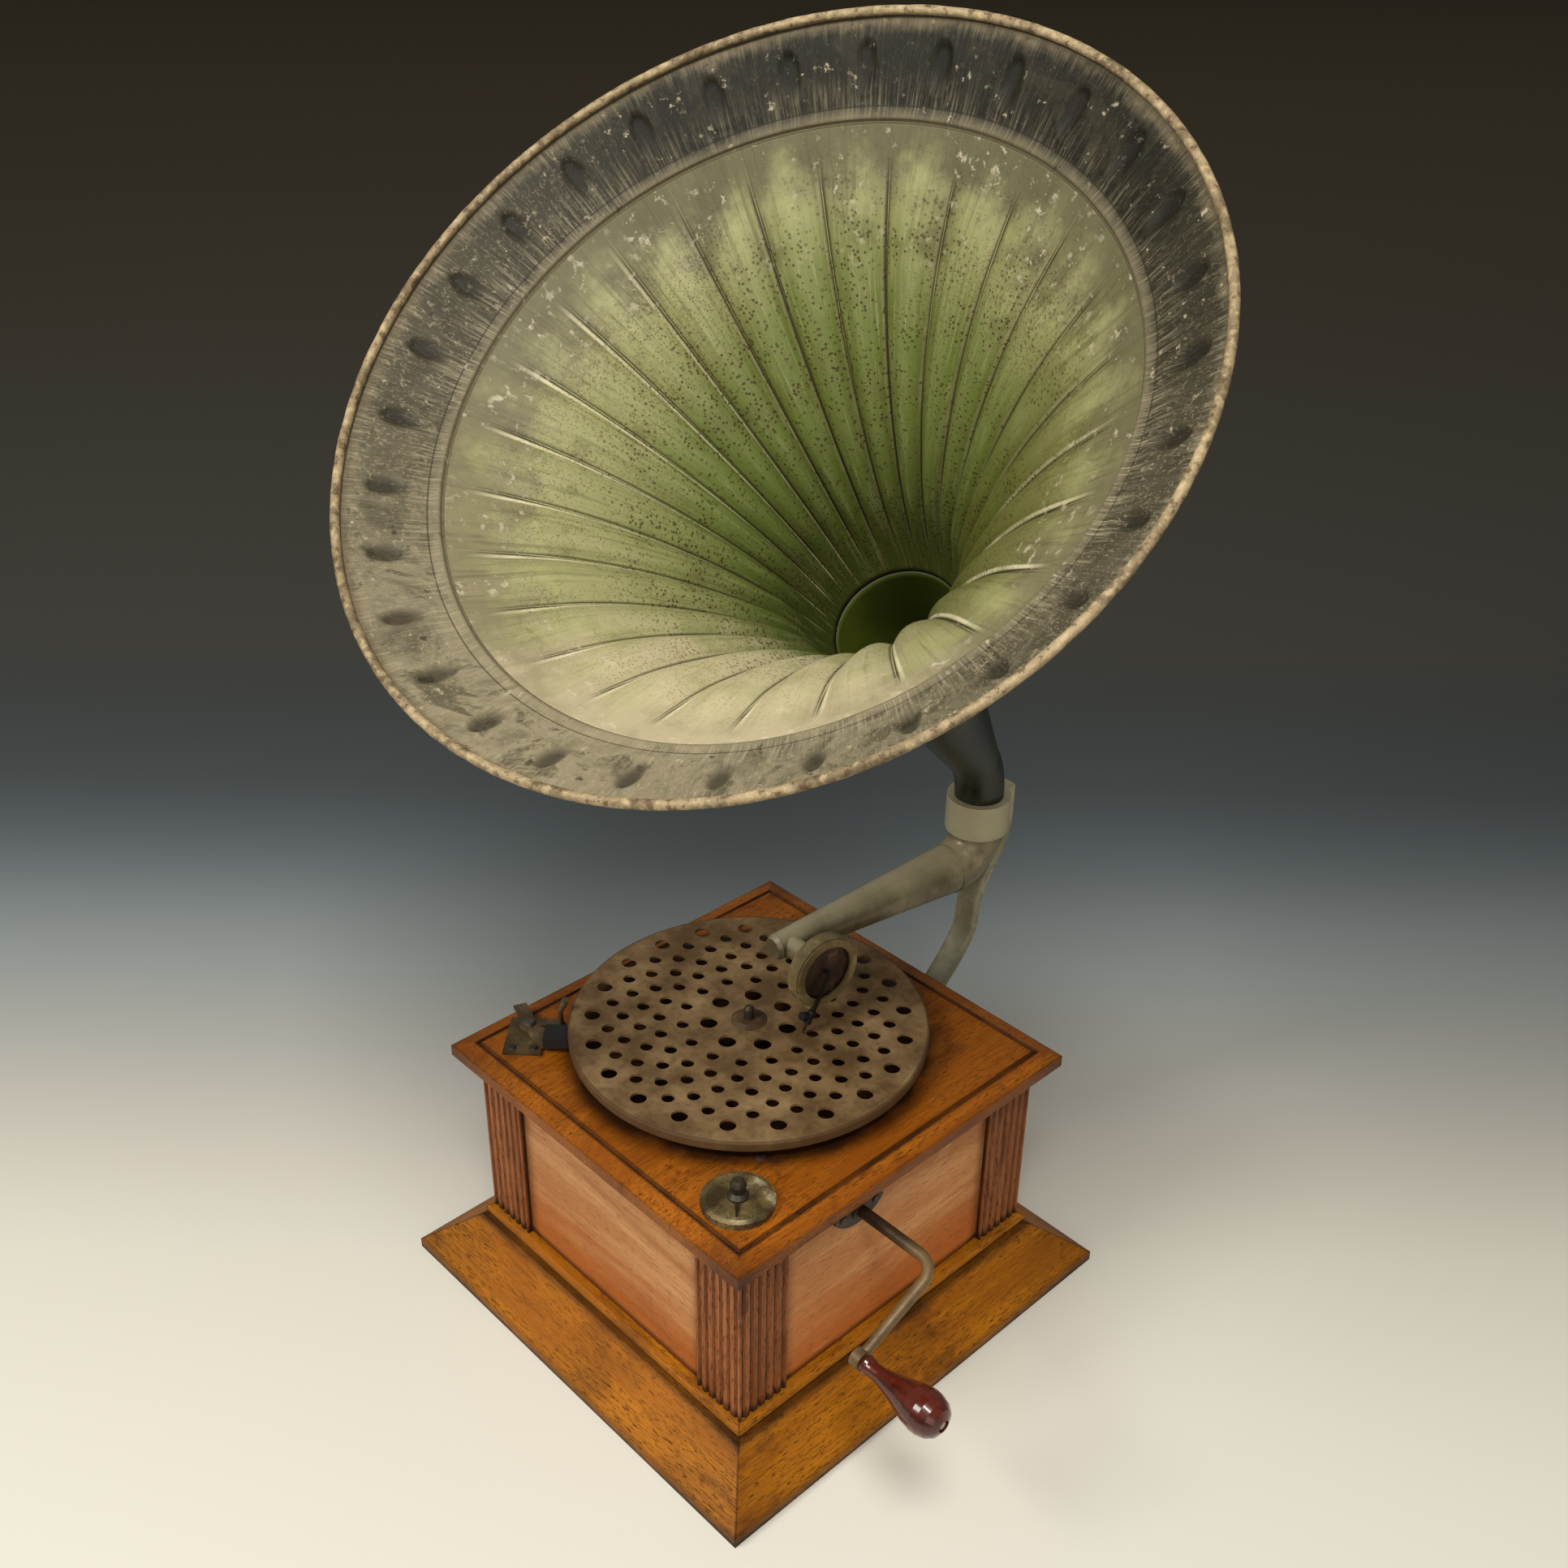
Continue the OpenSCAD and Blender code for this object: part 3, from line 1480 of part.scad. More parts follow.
module horn_elbow() {
    bore_r = neck_r_out - tube_wall;
    color("darkslategray")
        horn_place()
            union() {
                translate([0, 0, neck_low])
                    ring_tube(neck_r_out, bore_r, neck_r_out, bore_r, collar_z - neck_low);
                translate([0, -neck_bend, collar_z])
                    rotate([90, 0, 90])
                        rotate_extrude(angle = bend_angle)
                            translate([neck_bend, 0])
                                difference() {
                                    circle(neck_r_out);
                                    circle(bore_r);
                                }
                translate([0, cone_start_y, cone_start_z])
                    rotate([bend_angle, 0, 0]) {
                        ring_tube(neck_r_out, bore_r, throat_r + sheet_t, throat_r, cone_l);
                        translate([0, 0, cone_l - band_h])
                            rotate_extrude()
                                polygon([[throat_r, 0], [throat_r + band_t, 0], [throat_r + band_t, band_h],
                                    [throat_r, band_h]]);
                    }
            }
}

base_moulding_front();
base_moulding_back();
base_moulding_left();
base_moulding_right();
bottom_board();
corner_post_front_left();
corner_post_front_right();
corner_post_back_left();
corner_post_back_right();
panel_front();
panel_back();
panel_left();
panel_right();
lid_board();
crank_escutcheon();
motor_top_plate();
motor_bottom_plate();
motor_pillars();
motor_screws();
horn_bracket();
bracket_screws();
brake_plate();
brake_screws();
speed_dial();
crank_rod();
crank_pinion();
grip_pin();
crank_grip();
spring_arbor();
crown_wheel();
ratchet_wheel();
winding_click();
spring_barrel();
barrel_cover();
mainspring();
middle_arbor();
middle_wheel();
spindle();
turntable();
turntable_hub();
governor_wheel();
governor_shaft();
governor_weights();
governor_springs();
governor_disc();
brake_lever();
brake_pad();
speed_knob();
speed_lever();
speed_pad();
tone_arm();
soundbox_case();
diaphragm();
needle_bar();
needle_screw();
needle();
horn_bell();
horn_rim();
horn_elbow();
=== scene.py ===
"""A table gramophone with a fluted outside horn, on a reeded oak case with a wind-up motor."""
import math

import bmesh
import bpy
from mathutils import Matrix, Vector


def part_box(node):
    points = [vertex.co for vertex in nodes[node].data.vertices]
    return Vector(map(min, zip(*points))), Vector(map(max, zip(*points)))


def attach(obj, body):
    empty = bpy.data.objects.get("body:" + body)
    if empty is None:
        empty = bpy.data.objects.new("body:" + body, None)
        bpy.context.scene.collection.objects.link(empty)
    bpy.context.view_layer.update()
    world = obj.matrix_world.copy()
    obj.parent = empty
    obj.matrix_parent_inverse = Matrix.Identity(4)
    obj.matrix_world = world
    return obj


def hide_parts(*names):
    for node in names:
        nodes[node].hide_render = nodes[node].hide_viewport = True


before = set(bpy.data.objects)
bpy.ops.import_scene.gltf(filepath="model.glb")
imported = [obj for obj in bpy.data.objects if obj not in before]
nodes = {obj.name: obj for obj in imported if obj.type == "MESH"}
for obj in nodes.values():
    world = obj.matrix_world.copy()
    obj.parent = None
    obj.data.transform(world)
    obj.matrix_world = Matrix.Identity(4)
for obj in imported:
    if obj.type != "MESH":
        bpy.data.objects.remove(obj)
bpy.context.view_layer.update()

# The base moulding: four mitred lengths of golden oak with a long slope and a rounded bead,
# glued round the foot of the case. The varnish is thin and darker in the open pores and
# along the outer edges, where hands and dusters have rubbed it. Painted shade darkens it
# below the bead and towards its corners, and it is darker along its foot.


class Wire:
    """A number on a node's socket; each arithmetic sign adds one Math node."""

    def __init__(self, tree, socket):
        self.tree, self.socket = tree, socket

    def math(self, kind, *others):
        n = self.tree.nodes.new("ShaderNodeMath")
        n.operation = kind
        for slot, value in zip(n.inputs, (self, *others)):
            if isinstance(value, Wire):
                self.tree.links.new(value.socket, slot)
            else:
                slot.default_value = value
        return Wire(self.tree, n.outputs[0])

    def __add__(self, other):
        return self.math("ADD", other)

    def __sub__(self, other):
        return self.math("SUBTRACT", other)

    def __mul__(self, other):
        return self.math("MULTIPLY", other)

    def __truediv__(self, other):
        return self.math("DIVIDE", other)

    def less_from(self, other):
        return (self * -1) + other

    def band(self, low, high):
        """0 below low, 1 above high, smooth in between; low may be the greater."""
        n = self.tree.nodes.new("ShaderNodeMapRange")
        n.interpolation_type = "SMOOTHSTEP"
        self.tree.links.new(self.socket, n.inputs["Value"])
        n.inputs["From Min"].default_value = low
        n.inputs["From Max"].default_value = high
        return Wire(self.tree, n.outputs["Result"])


def put(tree, kind, settings=None, **sockets):
    """Adds a node. Wires and sockets are linked, plain values are set."""
    n = tree.nodes.new(kind)
    for key, value in (settings or {}).items():
        setattr(n, key, value)
    for key, value in sockets.items():
        slot = n.inputs[key.replace("_", " ")]
        value = value.socket if isinstance(value, Wire) else value
        if isinstance(value, bpy.types.NodeSocket):
            tree.links.new(value, slot)
        else:
            slot.default_value = value
    return n


def tint(rgb):
    """A colour given as 0 to 255 steps, as the linear colour that a shader takes."""
    return tuple(((c / 255 + 0.055) / 1.055) ** 2.4 if c > 10 else c / 3295 for c in rgb) + (1,)


def split(tree, vector):
    """The three numbers of a vector."""
    n = put(tree, "ShaderNodeSeparateXYZ", Vector=vector)
    return [Wire(tree, n.outputs[axis]) for axis in "XYZ"]


def blend_colour(tree, share, low, high, kind="MIX"):
    """low where share is 0, high where it is 1."""
    n = tree.nodes.new("ShaderNodeMix")
    n.data_type = "RGBA"
    n.blend_type = kind
    for slot, value in ((n.inputs[0], share), (n.inputs[6], low), (n.inputs[7], high)):
        value = value.socket if isinstance(value, Wire) else value
        if isinstance(value, bpy.types.NodeSocket):
            tree.links.new(value, slot)
        else:
            slot.default_value = value
    return n.outputs[2]


def noise(tree, where, scale, detail=3.0, stretch=(1, 1, 1), rough=0.5, distortion=0.0):
    """Soft random pattern, 0 to 1, in the object's own coordinates."""
    if tuple(stretch) != (1, 1, 1):
        where = put(tree, "ShaderNodeMapping", Vector=where, Scale=stretch).outputs[0]
    n = put(tree, "ShaderNodeTexNoise", Vector=where, Scale=scale, Detail=detail,
            Roughness=rough, Distortion=distortion)
    return Wire(tree, n.outputs["Fac"])


def spots(tree, where, scale, size):
    """Small round specks, 1 in their middle; size is a share of their spacing."""
    n = put(tree, "ShaderNodeTexVoronoi", Vector=where, Scale=scale, Randomness=1.0)
    return Wire(tree, n.outputs["Distance"]).band(size, size * 0.9 - 0.02)


def start(name):
    """An empty node material and its object coordinates."""
    m = bpy.data.materials.new(name)
    m.use_nodes = True
    m.node_tree.nodes.clear()
    where = m.node_tree.nodes.new("ShaderNodeTexCoord").outputs["Object"]
    return m, m.node_tree, where


def close(m, colour, rough, height=None, depth=0.0005, metallic=0.0, coat=0.0, coat_rough=0.15, specular=0.5):
    """Joins colour, roughness and relief into the material's surface."""
    t = m.node_tree
    s = put(t, "ShaderNodeBsdfPrincipled", Base_Color=colour, Roughness=rough)
    s.inputs["Metallic"].default_value = metallic
    s.inputs["Coat Weight"].default_value = coat
    s.inputs["Coat Roughness"].default_value = coat_rough
    s.inputs["Specular IOR Level"].default_value = specular
    if height is not None:
        b = put(t, "ShaderNodeBump", Strength=1.0, Distance=depth, Height=height)
        t.links.new(b.outputs[0], s.inputs["Normal"])
    o = t.nodes.new("ShaderNodeOutputMaterial")
    t.links.new(s.outputs[0], o.inputs[0])
    return m


def along(grain, with_it, across_it):
    """How a pattern is stretched: one scale along the grain and one across it."""
    return [with_it if axis == grain else across_it for axis in "XYZ"]


def oak(name, grain, dark, mid, light, edge=None, shift=0.0, gloss=0.50, coat=0.04):
    """Varnished oak with its grain along one axis; edge gives a share of rubbed-in grime and painted shade."""
    m, t, where = start(name)
    moved = put(t, "ShaderNodeMapping", Vector=where, Location=(shift, shift * 1.7, shift * 0.6)).outputs[0]
    figure = noise(t, moved, 5.0, 5, along(grain, 0.7, 7.0), 0.6, 1.0)
    fibre = noise(t, moved, 60.0, 5, along(grain, 0.35, 11.0), 0.75)
    pore = noise(t, moved, 150.0, 2, along(grain, 1.0, 11.0), 0.5)
    stain = noise(t, moved, 11.0, 5, (1, 1, 1), 0.62)
    grime = noise(t, moved, 42.0, 5, along(grain, 0.5, 1.6), 0.65)
    tone = blend_colour(t, figure.band(0.34, 0.66), tint(mid), tint(light))
    tone = blend_colour(t, fibre.band(0.42, 0.66) * 0.6, tone, tint([(a + b) / 2 for a, b in zip(dark, mid)]))
    tone = blend_colour(t, stain.band(0.46, 0.74) * 0.6, tone, tint(dark))
    tone = blend_colour(t, grime.band(0.54, 0.68) * 0.55, tone, tint(dark))
    open_pore = pore.band(0.58, 0.68) * figure.band(0.25, 0.60)
    tone = blend_colour(t, open_pore * 0.85, tone, tint([c * 0.5 for c in dark]))
    if edge is not None:
        wear_and_shading = (edge(t, where) * (noise(t, moved, 30.0, 4) * 1.2 + 0.45)).math("MINIMUM", 1.0)
        tone = blend_colour(t, wear_and_shading * 0.92, tone, tint([c * 0.4 for c in dark]))
    height = fibre * 0.5 - open_pore * 0.8
    rough = stain * 0.25 + gloss - 0.08 + open_pore * 0.2
    return close(m, tone, rough, height, 0.0004, coat=coat, coat_rough=0.3, specular=0.18)


def cover(node, material):
    """Gives a CAD piece its material."""
    o = nodes[node]
    o.data.materials.clear()
    o.data.materials.append(material)
    return o


def ease(o, width):
    """Rounds a piece's sharp edges a little."""
    b = o.modifiers.new("ease", "BEVEL")
    b.width = width
    b.segments = 2
    b.limit_method = "ANGLE"
    b.angle_limit = math.radians(35)
    b.harden_normals = False
    return o


base_x, base_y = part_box("base_moulding_right")[1].x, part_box("base_moulding_back")[1].y


def base_dirt_and_shade(tree, where):
    """Painted shade below the bead and towards the corners; grime along the outer edges of the slope, dark mitre
    joints, and darker along the foot.
    """
    x, y, z = split(tree, where)
    x, y = x.math("ABSOLUTE"), y.math("ABSOLUTE")
    out = (x - base_x).math("MAXIMUM", y - base_y) * -1
    mitre = ((x - base_x) - (y - base_y)).math("ABSOLUTE").band(0.0016, 0.0004) * 0.45
    # Painted shade towards the corners and below the bead.
    corner = ((x - base_x) + (y - base_y)).band(-0.11, 0.0) * 0.30
    under = z.band(0.032, 0.037) * z.band(0.041, 0.039)
    return under * 0.8 + out.band(0.0030, 0.0006) * 0.28 + z.band(0.005, 0.001) * 0.5 + mitre + corner


for side, grain, shift in (("front", "X", 0.0), ("back", "X", 0.4), ("left", "Y", 0.9), ("right", "Y", 1.6)):
    wood = oak(f"oak_base_{side}", grain, (90, 48, 4), (146, 84, 4), (172, 106, 8), base_dirt_and_shade, shift)
    ease(cover(f"base_moulding_{side}", wood), 0.0012)
cover("bottom_board", oak("oak_bottom", "X", (84, 58, 34), (142, 104, 62), (164, 124, 80), None, 2.2, 0.7, 0.0))

# The case: four reeded corner posts of darker oak with plain panels let in between them.
# The panels have faded to a pinkish red-brown and go orange towards their foot. Painted shade
# darkens the posts' flutes and ends and the panels' edges, and painted light scales each panel's colour.


def post_shade(tree, where):
    """Painted shade in the flutes, and at both ends of a post, below the lid and above the base."""
    x, y, z = split(tree, where)
    sunk = ((x.math("ABSOLUTE") - post_corner.x) * -1).math("MINIMUM", (y.math("ABSOLUTE") - post_corner.y) * -1)
    return z.band(0.056, 0.047) * 0.9 + z.band(0.176, 0.187) * 0.9 + sunk.band(0.0004, 0.0024) * 0.9


post_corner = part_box("corner_post_back_right")[1]
for k, post in enumerate(("front_left", "front_right", "back_left", "back_right")):
    wood = oak(f"oak_post_{post}", "Z", (74, 36, 16), (128, 72, 34), (158, 96, 52), post_shade, 3.1 + k)
    cover(f"corner_post_{post}", wood)


def panel_wood(name, grain, shift, fade):
    """Faded panel: pinkish field, orange foot and grey-brown scratches, with painted shade along its sides, foot
    and top; fade scales the whole colour as painted light for each side.
    """
    m, t, where = start(name)
    moved = put(t, "ShaderNodeMapping", Vector=where, Location=(shift, shift, shift)).outputs[0]
    figure = noise(t, moved, 4.0, 4, along(grain, 0.8, 7.0), 0.55, 1.2)
    fibre = noise(t, moved, 70.0, 5, along(grain, 0.35, 9.0), 0.75)
    pore = noise(t, moved, 150.0, 2, along(grain, 1.0, 12.0)).band(0.60, 0.70)
    stain = noise(t, moved, 9.0, 5, (1, 1, 1), 0.62)
    scratch = noise(t, moved, 24.0, 5, along(grain, 0.6, 5.0), 0.7, 1.5)
    x, y, z = split(t, where)
    level = (x if grain == "X" else y).math("ABSOLUTE")
    tone = blend_colour(t, figure.band(0.35, 0.65), tint((166, 109, 60)), tint((191, 139, 89)))
    low = (z + (figure - 0.5) * 0.07).band(0.115, 0.058)
    tone = blend_colour(t, low * 0.85, tone, tint((160, 82, 14)))
    tone = blend_colour(t, fibre.band(0.42, 0.66) * 0.45, tone, tint((140, 76, 34)))
    tone = blend_colour(t, stain.band(0.48, 0.75) * 0.5, tone, tint((124, 64, 26)))
    tone = blend_colour(t, scratch.band(0.60, 0.72) * 0.4, tone, tint((206, 156, 112)))
    tone = blend_colour(t, pore * 0.5, tone, tint((84, 42, 18)))
    # Painted shade along the side edges next to the posts, at the foot and at the top below the lid.
    rim = level.band(panel_half[grain] - 0.012, panel_half[grain]) * 0.55
    panel_edge_shade = ((z.band(0.054, 0.047) + z.band(0.176, 0.187)) * 0.85 + rim).math("MINIMUM", 1.0)
    tone = blend_colour(t, panel_edge_shade, tone, tint((62, 30, 10)))
    # fade scales the whole colour, as painted light that differs from side to side.
    tone = blend_colour(t, 1.0, tone, (fade, fade, fade, 1), "MULTIPLY")
    return close(m, tone, stain * 0.2 + 0.42, fibre * 0.4 - pore * 0.6, 0.0003, coat=0.05, coat_rough=0.3,
                 specular=0.25)


panel_half = {"X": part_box("panel_front")[1].x, "Y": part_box("panel_right")[1].y}
# fade is painted light: one brightness scale for each side's panel.
for side, grain, shift, fade in (("front", "X", 5.2, 1.05), ("back", "X", 6.1, 1.0), ("left", "Y", 7.3, 1.0),
                                 ("right", "Y", 8.4, 1.3)):
    cover(f"panel_{side}", panel_wood(f"oak_panel_{side}", grain, shift, fade))

# The lid board: orange-brown oak with a groove inside a falling edge band. Its varnish has
# gone dark in the groove and at the corners, and painted shade darkens the lid below the turntable and round its
# edge.

lid_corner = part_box("lid_board")[1]
table_low, table_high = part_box("turntable")
table_at = (table_low + table_high) / 2
table_r = (table_high.x - table_low.x) / 2


def lid_dirt_and_shade(tree, where):
    """Dark bands in the groove and at the edge, darker corners, and painted shade on the lid below the turntable
    that thins out just past its rim.
    """
    x, y, z = split(tree, where)
    past_x, past_y = x.math("ABSOLUTE") - lid_corner.x, y.math("ABSOLUTE") - lid_corner.y
    inset = past_x.math("MAXIMUM", past_y) * -1
    groove = inset.band(0.0105, 0.0128) * inset.band(0.0172, 0.0146)
    rim = inset.band(0.0022, 0.0006) * 0.3
    x, y = x - table_at.x, y - table_at.y
    reach = (x * x + y * y).math("SQRT")
    # Painted shade: the lid is darkened below the whole turntable and a little past its rim.
    under = reach.band(table_r + 0.011, table_r - 0.005)
    worn_corner = (past_x + past_y).band(-0.05, 0.0) * 0.35
    return groove * 0.8 + rim + under * 0.95 + worn_corner


wood = oak("oak_lid_board", "Y", (82, 36, 4), (142, 76, 8), (170, 97, 18), lid_dirt_and_shade, 0.0, 0.42, 0.10)
ease(cover("lid_board", wood), 0.0007)

# The crank: a bent steel rod, dark near the case and rubbed to bare khaki along the arm,
# in an oval plate held by two screws, with a turned and polished handle that runs on a pin.


def cast(name, dark, mid, light, scale=1.0, rough=0.5, metallic=0.45, pits=0.4, coat=0.0, wear_and_shading_mask=None,
         wear_and_shading=None):
    """Dull cast or plated metal with cloudy tarnish and pits, and a given mask of rubbed or grimy places and
    painted light.
    """
    m, t, where = start(name)
    cloud = noise(t, where, 22.0 * scale, 5, (1, 1, 1), 0.6)
    fine = noise(t, where, 160.0 * scale, 3, (1, 1, 1), 0.6)
    tone = blend_colour(t, cloud.band(0.34, 0.62), tint(dark), tint(mid))
    tone = blend_colour(t, cloud.band(0.56, 0.76) * 0.8, tone, tint(light))
    tone = blend_colour(t, fine.band(0.5, 0.72) * 0.35, tone, tint([c * 0.6 for c in dark]))
    if wear_and_shading_mask is not None:
        tone = blend_colour(t, wear_and_shading_mask(t, where), tone, tint(wear_and_shading or light))
    pit = spots(t, where, 420.0 * scale, 0.22)
    height = fine * 0.5 - pit * pits
    return close(m, tone, fine * 0.3 + rough - 0.12, height, 0.00025, metallic, coat)


def rod_wear(tree, where):
    """Bare metal along the crank's arm, away from the case."""
    x = split(tree, where)[0]
    return x.band(0.165, 0.200) * (noise(tree, where, 40.0, 4).band(0.3, 0.6) * 0.5 + 0.4)


rod = cast("crank_steel", (34, 22, 10), (72, 50, 26), (122, 98, 62), 1.2, 0.46, 0.3, 0.3, wear_and_shading_mask=rod_wear)
cover("crank_rod", rod)
plate = cast("escutcheon_metal", (36, 24, 16), (64, 46, 32), (108, 88, 68), 1.5, 0.5, 0.2)
cover("crank_escutcheon", plate)
steel = cast("drawn_steel", (92, 90, 84), (150, 148, 140), (196, 194, 186), 1.6, 0.32, 0.95, 0.15)
cover("grip_pin", steel)

m, t, where = start("polished_grip")
figure = noise(t, where, 9.0, 4, (1, 6, 6), 0.6, 0.8)
tone = blend_colour(t, figure.band(0.3, 0.7), tint((46, 10, 4)), tint((92, 30, 14)))
tone = blend_colour(t, noise(t, where, 60.0, 3, (0.4, 8, 8)).band(0.45, 0.75) * 0.5, tone, tint((34, 8, 4)))
cover("crank_grip", close(m, tone, figure * 0.1 + 0.20, figure, 0.0002, coat=0.6, coat_rough=0.05, specular=0.35))

# The turntable: a pressed plate with seven rings of holes and a turned-down rim, over a
# cast hub. Its nickel has gone to a brown-olive patina, and it is darker brown on the rim.


def table_rim_darkening(tree, where):
    """Darker brown on the turned-down rim and in a soft mottled band inside it."""
    x, y, z = split(tree, where)
    x, y = x - table_at.x, y - table_at.y
    reach = (x * x + y * y).math("SQRT")
    soft = reach.band(table_r - 0.045, table_r - 0.004) * noise(tree, where, 26.0, 4).band(0.36, 0.60) * 0.45
    return (soft + reach.band(table_r - 0.0025, table_r - 0.0008) * 0.7).math("MINIMUM", 0.85)


patina = cast("plate_patina", (102, 76, 42), (150, 120, 80), (184, 154, 108), 1.3, 0.50, 0.12, 0.5,
              wear_and_shading_mask=table_rim_darkening, wear_and_shading=(78, 52, 24))
ease(cover("turntable", patina), 0.0004)
cover("turntable_hub", cast("hub_patina", (66, 46, 26), (98, 74, 46), (136, 108, 74), 2.0, 0.50, 0.12))
cover("spindle", cast("spindle_steel", (40, 32, 22), (74, 62, 46), (118, 104, 84), 1.4, 0.40, 0.4))

# The speed dial: a thick cast disc with a raised rim and worn relief, and a knob with a
# pointer in its middle.

nickel = cast("dial_nickel", (66, 52, 28), (124, 106, 66), (214, 204, 168), 2.6, 0.36, 0.35, 0.9)
cover("speed_dial", nickel)


def new_tree(name, **numbers):
    """A geometry tree with named number inputs and one mesh output."""
    tree = bpy.data.node_groups.new(name, "GeometryNodeTree")
    tree.interface.new_socket("Geometry", in_out="OUTPUT", socket_type="NodeSocketGeometry")
    for key, value in numbers.items():
        s = tree.interface.new_socket(key, in_out="INPUT", socket_type="NodeSocketFloat")
        s.default_value = value
    inputs = tree.nodes.new("NodeGroupInput")
    return tree, {key: Wire(tree, inputs.outputs[key]) for key in numbers}


MERGE = 1e-6


def run_tree(name, tree, material, place, numbers):
    """Bakes a geometry tree into a plain mesh object at the origin."""
    holder = bpy.data.objects.new(name + "_tree", bpy.data.meshes.new(name + "_seed"))
    bpy.context.scene.collection.objects.link(holder)
    modifier = holder.modifiers.new("shape", "NODES")
    modifier.node_group = tree
    for item in tree.interface.items_tree:
        if item.in_out == "INPUT" and item.name in numbers:
            modifier[item.identifier] = float(numbers[item.name])
    bpy.context.view_layer.update()
    baked = bpy.data.meshes.new_from_object(
        holder.evaluated_get(bpy.context.evaluated_depsgraph_get()))
    bpy.data.objects.remove(holder)
    work = bmesh.new()
    work.from_mesh(baked)
    bmesh.ops.remove_doubles(work, verts=work.verts, dist=MERGE)
    bmesh.ops.recalc_face_normals(work, faces=work.faces)
    work.to_mesh(baked)
    work.free()
    baked.transform(place)
    baked.materials.clear()
    baked.materials.append(material)
    baked.name = name
    for face in baked.polygons:
        face.use_smooth = True
    o = bpy.data.objects.new(name, baked)
    bpy.context.scene.collection.objects.link(o)
    return o


def end_tree(tree, mesh, material):
    """Makes copies real, gives the material and ends the tree."""
    mesh = put(tree, "GeometryNodeRealizeInstances", Geometry=mesh).outputs[0]
    n = put(tree, "GeometryNodeSetMaterial", Geometry=mesh)
    n.inputs["Material"].default_value = material
    tree.links.new(n.outputs[0], tree.nodes.new("NodeGroupOutput").inputs[0])


dial_low, dial_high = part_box("speed_dial")
dial_at = (dial_low + dial_high) / 2
BEADS, MARKS, MARK_W, MARK_H = 44, 24, 0.0008, 0.0009
relief_sizes = {"bead_ring": 0.0196, "bead": 0.00075, "mark_ring": 0.0158, "mark": 0.0034}
tree, size = new_tree("dial_relief", **relief_sizes)
shapes = []
for count, ring_r, shape in ((BEADS, size["bead_ring"], "bead"), (MARKS, size["mark_ring"], "mark")):
    ring = put(tree, "GeometryNodeMeshCircle", Vertices=count, Radius=ring_r)
    if shape == "bead":
        one = put(tree, "GeometryNodeMeshUVSphere", Segments=8, Rings=5, Radius=size["bead"])
    else:
        edges = put(tree, "ShaderNodeCombineXYZ", X=size["mark"], Y=MARK_W, Z=MARK_H)
        one = put(tree, "GeometryNodeMeshCube", Size=edges.outputs[0])
    x, y, z = split(tree, tree.nodes.new("GeometryNodeInputPosition").outputs[0])
    facing = y.math("ARCTAN2", x)
    turned = put(tree, "FunctionNodeEulerToRotation", Euler=put(tree, "ShaderNodeCombineXYZ", Z=facing).outputs[0])
    copies = put(tree, "GeometryNodeInstanceOnPoints", Points=ring.outputs[0], Instance=one.outputs[0],
                 Rotation=turned.outputs[0])
    shapes.append(copies.outputs[0])
both = tree.nodes.new("GeometryNodeJoinGeometry")
for shape in shapes:
    tree.links.new(shape, both.inputs[0])
end_tree(tree, both.outputs[0], nickel)
relief = run_tree("dial_relief", tree, nickel, Matrix.Translation((dial_at.x, dial_at.y, dial_high.z)),
                  relief_sizes)
for face in relief.data.polygons:
    face.use_smooth = False
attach(relief, "case")
cover("speed_knob", cast("knob_metal", (30, 24, 14), (58, 48, 30), (104, 90, 60), 2.0, 0.42, 0.3))

# The brake: a foot plate held by two screws, with a lever that swings on it and presses
# a black leather pad on the turntable's rim. All of it is dull, dark plated steel.

cover("brake_plate", cast("brake_plate_metal", (54, 40, 20), (94, 76, 44), (146, 126, 84), 1.5, 0.5, 0.2))
cover("brake_lever", cast("brake_lever_metal", (58, 44, 26), (98, 78, 50), (156, 138, 104), 1.5, 0.45, 0.2))
cover("brake_screws", cast("brake_screw_metal", (50, 46, 38), (92, 86, 72), (140, 134, 116), 2.0, 0.4))
black_leather = cast("pad_leather", (10, 9, 8), (20, 18, 17), (38, 36, 34), 2.0, 0.75, 0.0, 0.8)
cover("brake_pad", black_leather)

# The horn bracket and the tone arm: grey-olive castings, smooth, with a painted highlight along
# the arm's top side and painted light that makes the collar paler. The bracket bolts to the back panel; the arm
# hangs in the collar on its spigot.


def collar_painted_light(tree, where):
    """Painted light: the collar is made paler than the rest of the bracket, against the horn's shade above it."""
    return split(tree, where)[2].band(0.270, 0.296) * 0.7


zinc = cast("bracket_metal", (116, 112, 86), (146, 141, 112), (190, 181, 146), 0.9, 0.44, 0.1, 0.25,
            wear_and_shading_mask=collar_painted_light)
cover("horn_bracket", zinc)
STRAP_TURN_Y, STRAP_TURN_Z, STRAP_R, STRAP_TURN = 0.198, 0.289, 0.055, math.radians(40)
STRAP_TOP, STRAP_SIDES, SQUARISH = 0.3165, 32, 0.4
HALF_W_TOP, HALF_W_FOOT, HALF_T_TOP, HALF_T_FOOT = 0.0105, 0.0090, 0.0054, 0.0044
waist = Vector((0, 0.223, 0.205))
strap_foot = Vector((0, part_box("panel_back")[1].y + 0.0035, 0.122))


def bezier(a, b, c, d, t):
    """The point at share t of a curve from a to d that b and c pull on."""
    return a * (1 - t) ** 3 + b * 3 * t * (1 - t) ** 2 + c * 3 * t * t * (1 - t) + d * t ** 3


def strap_turn(angle):
    """A point on the strap's round bend under the collar."""
    return Vector((0, STRAP_TURN_Y + STRAP_R * math.cos(angle), STRAP_TURN_Z - STRAP_R * math.sin(angle)))


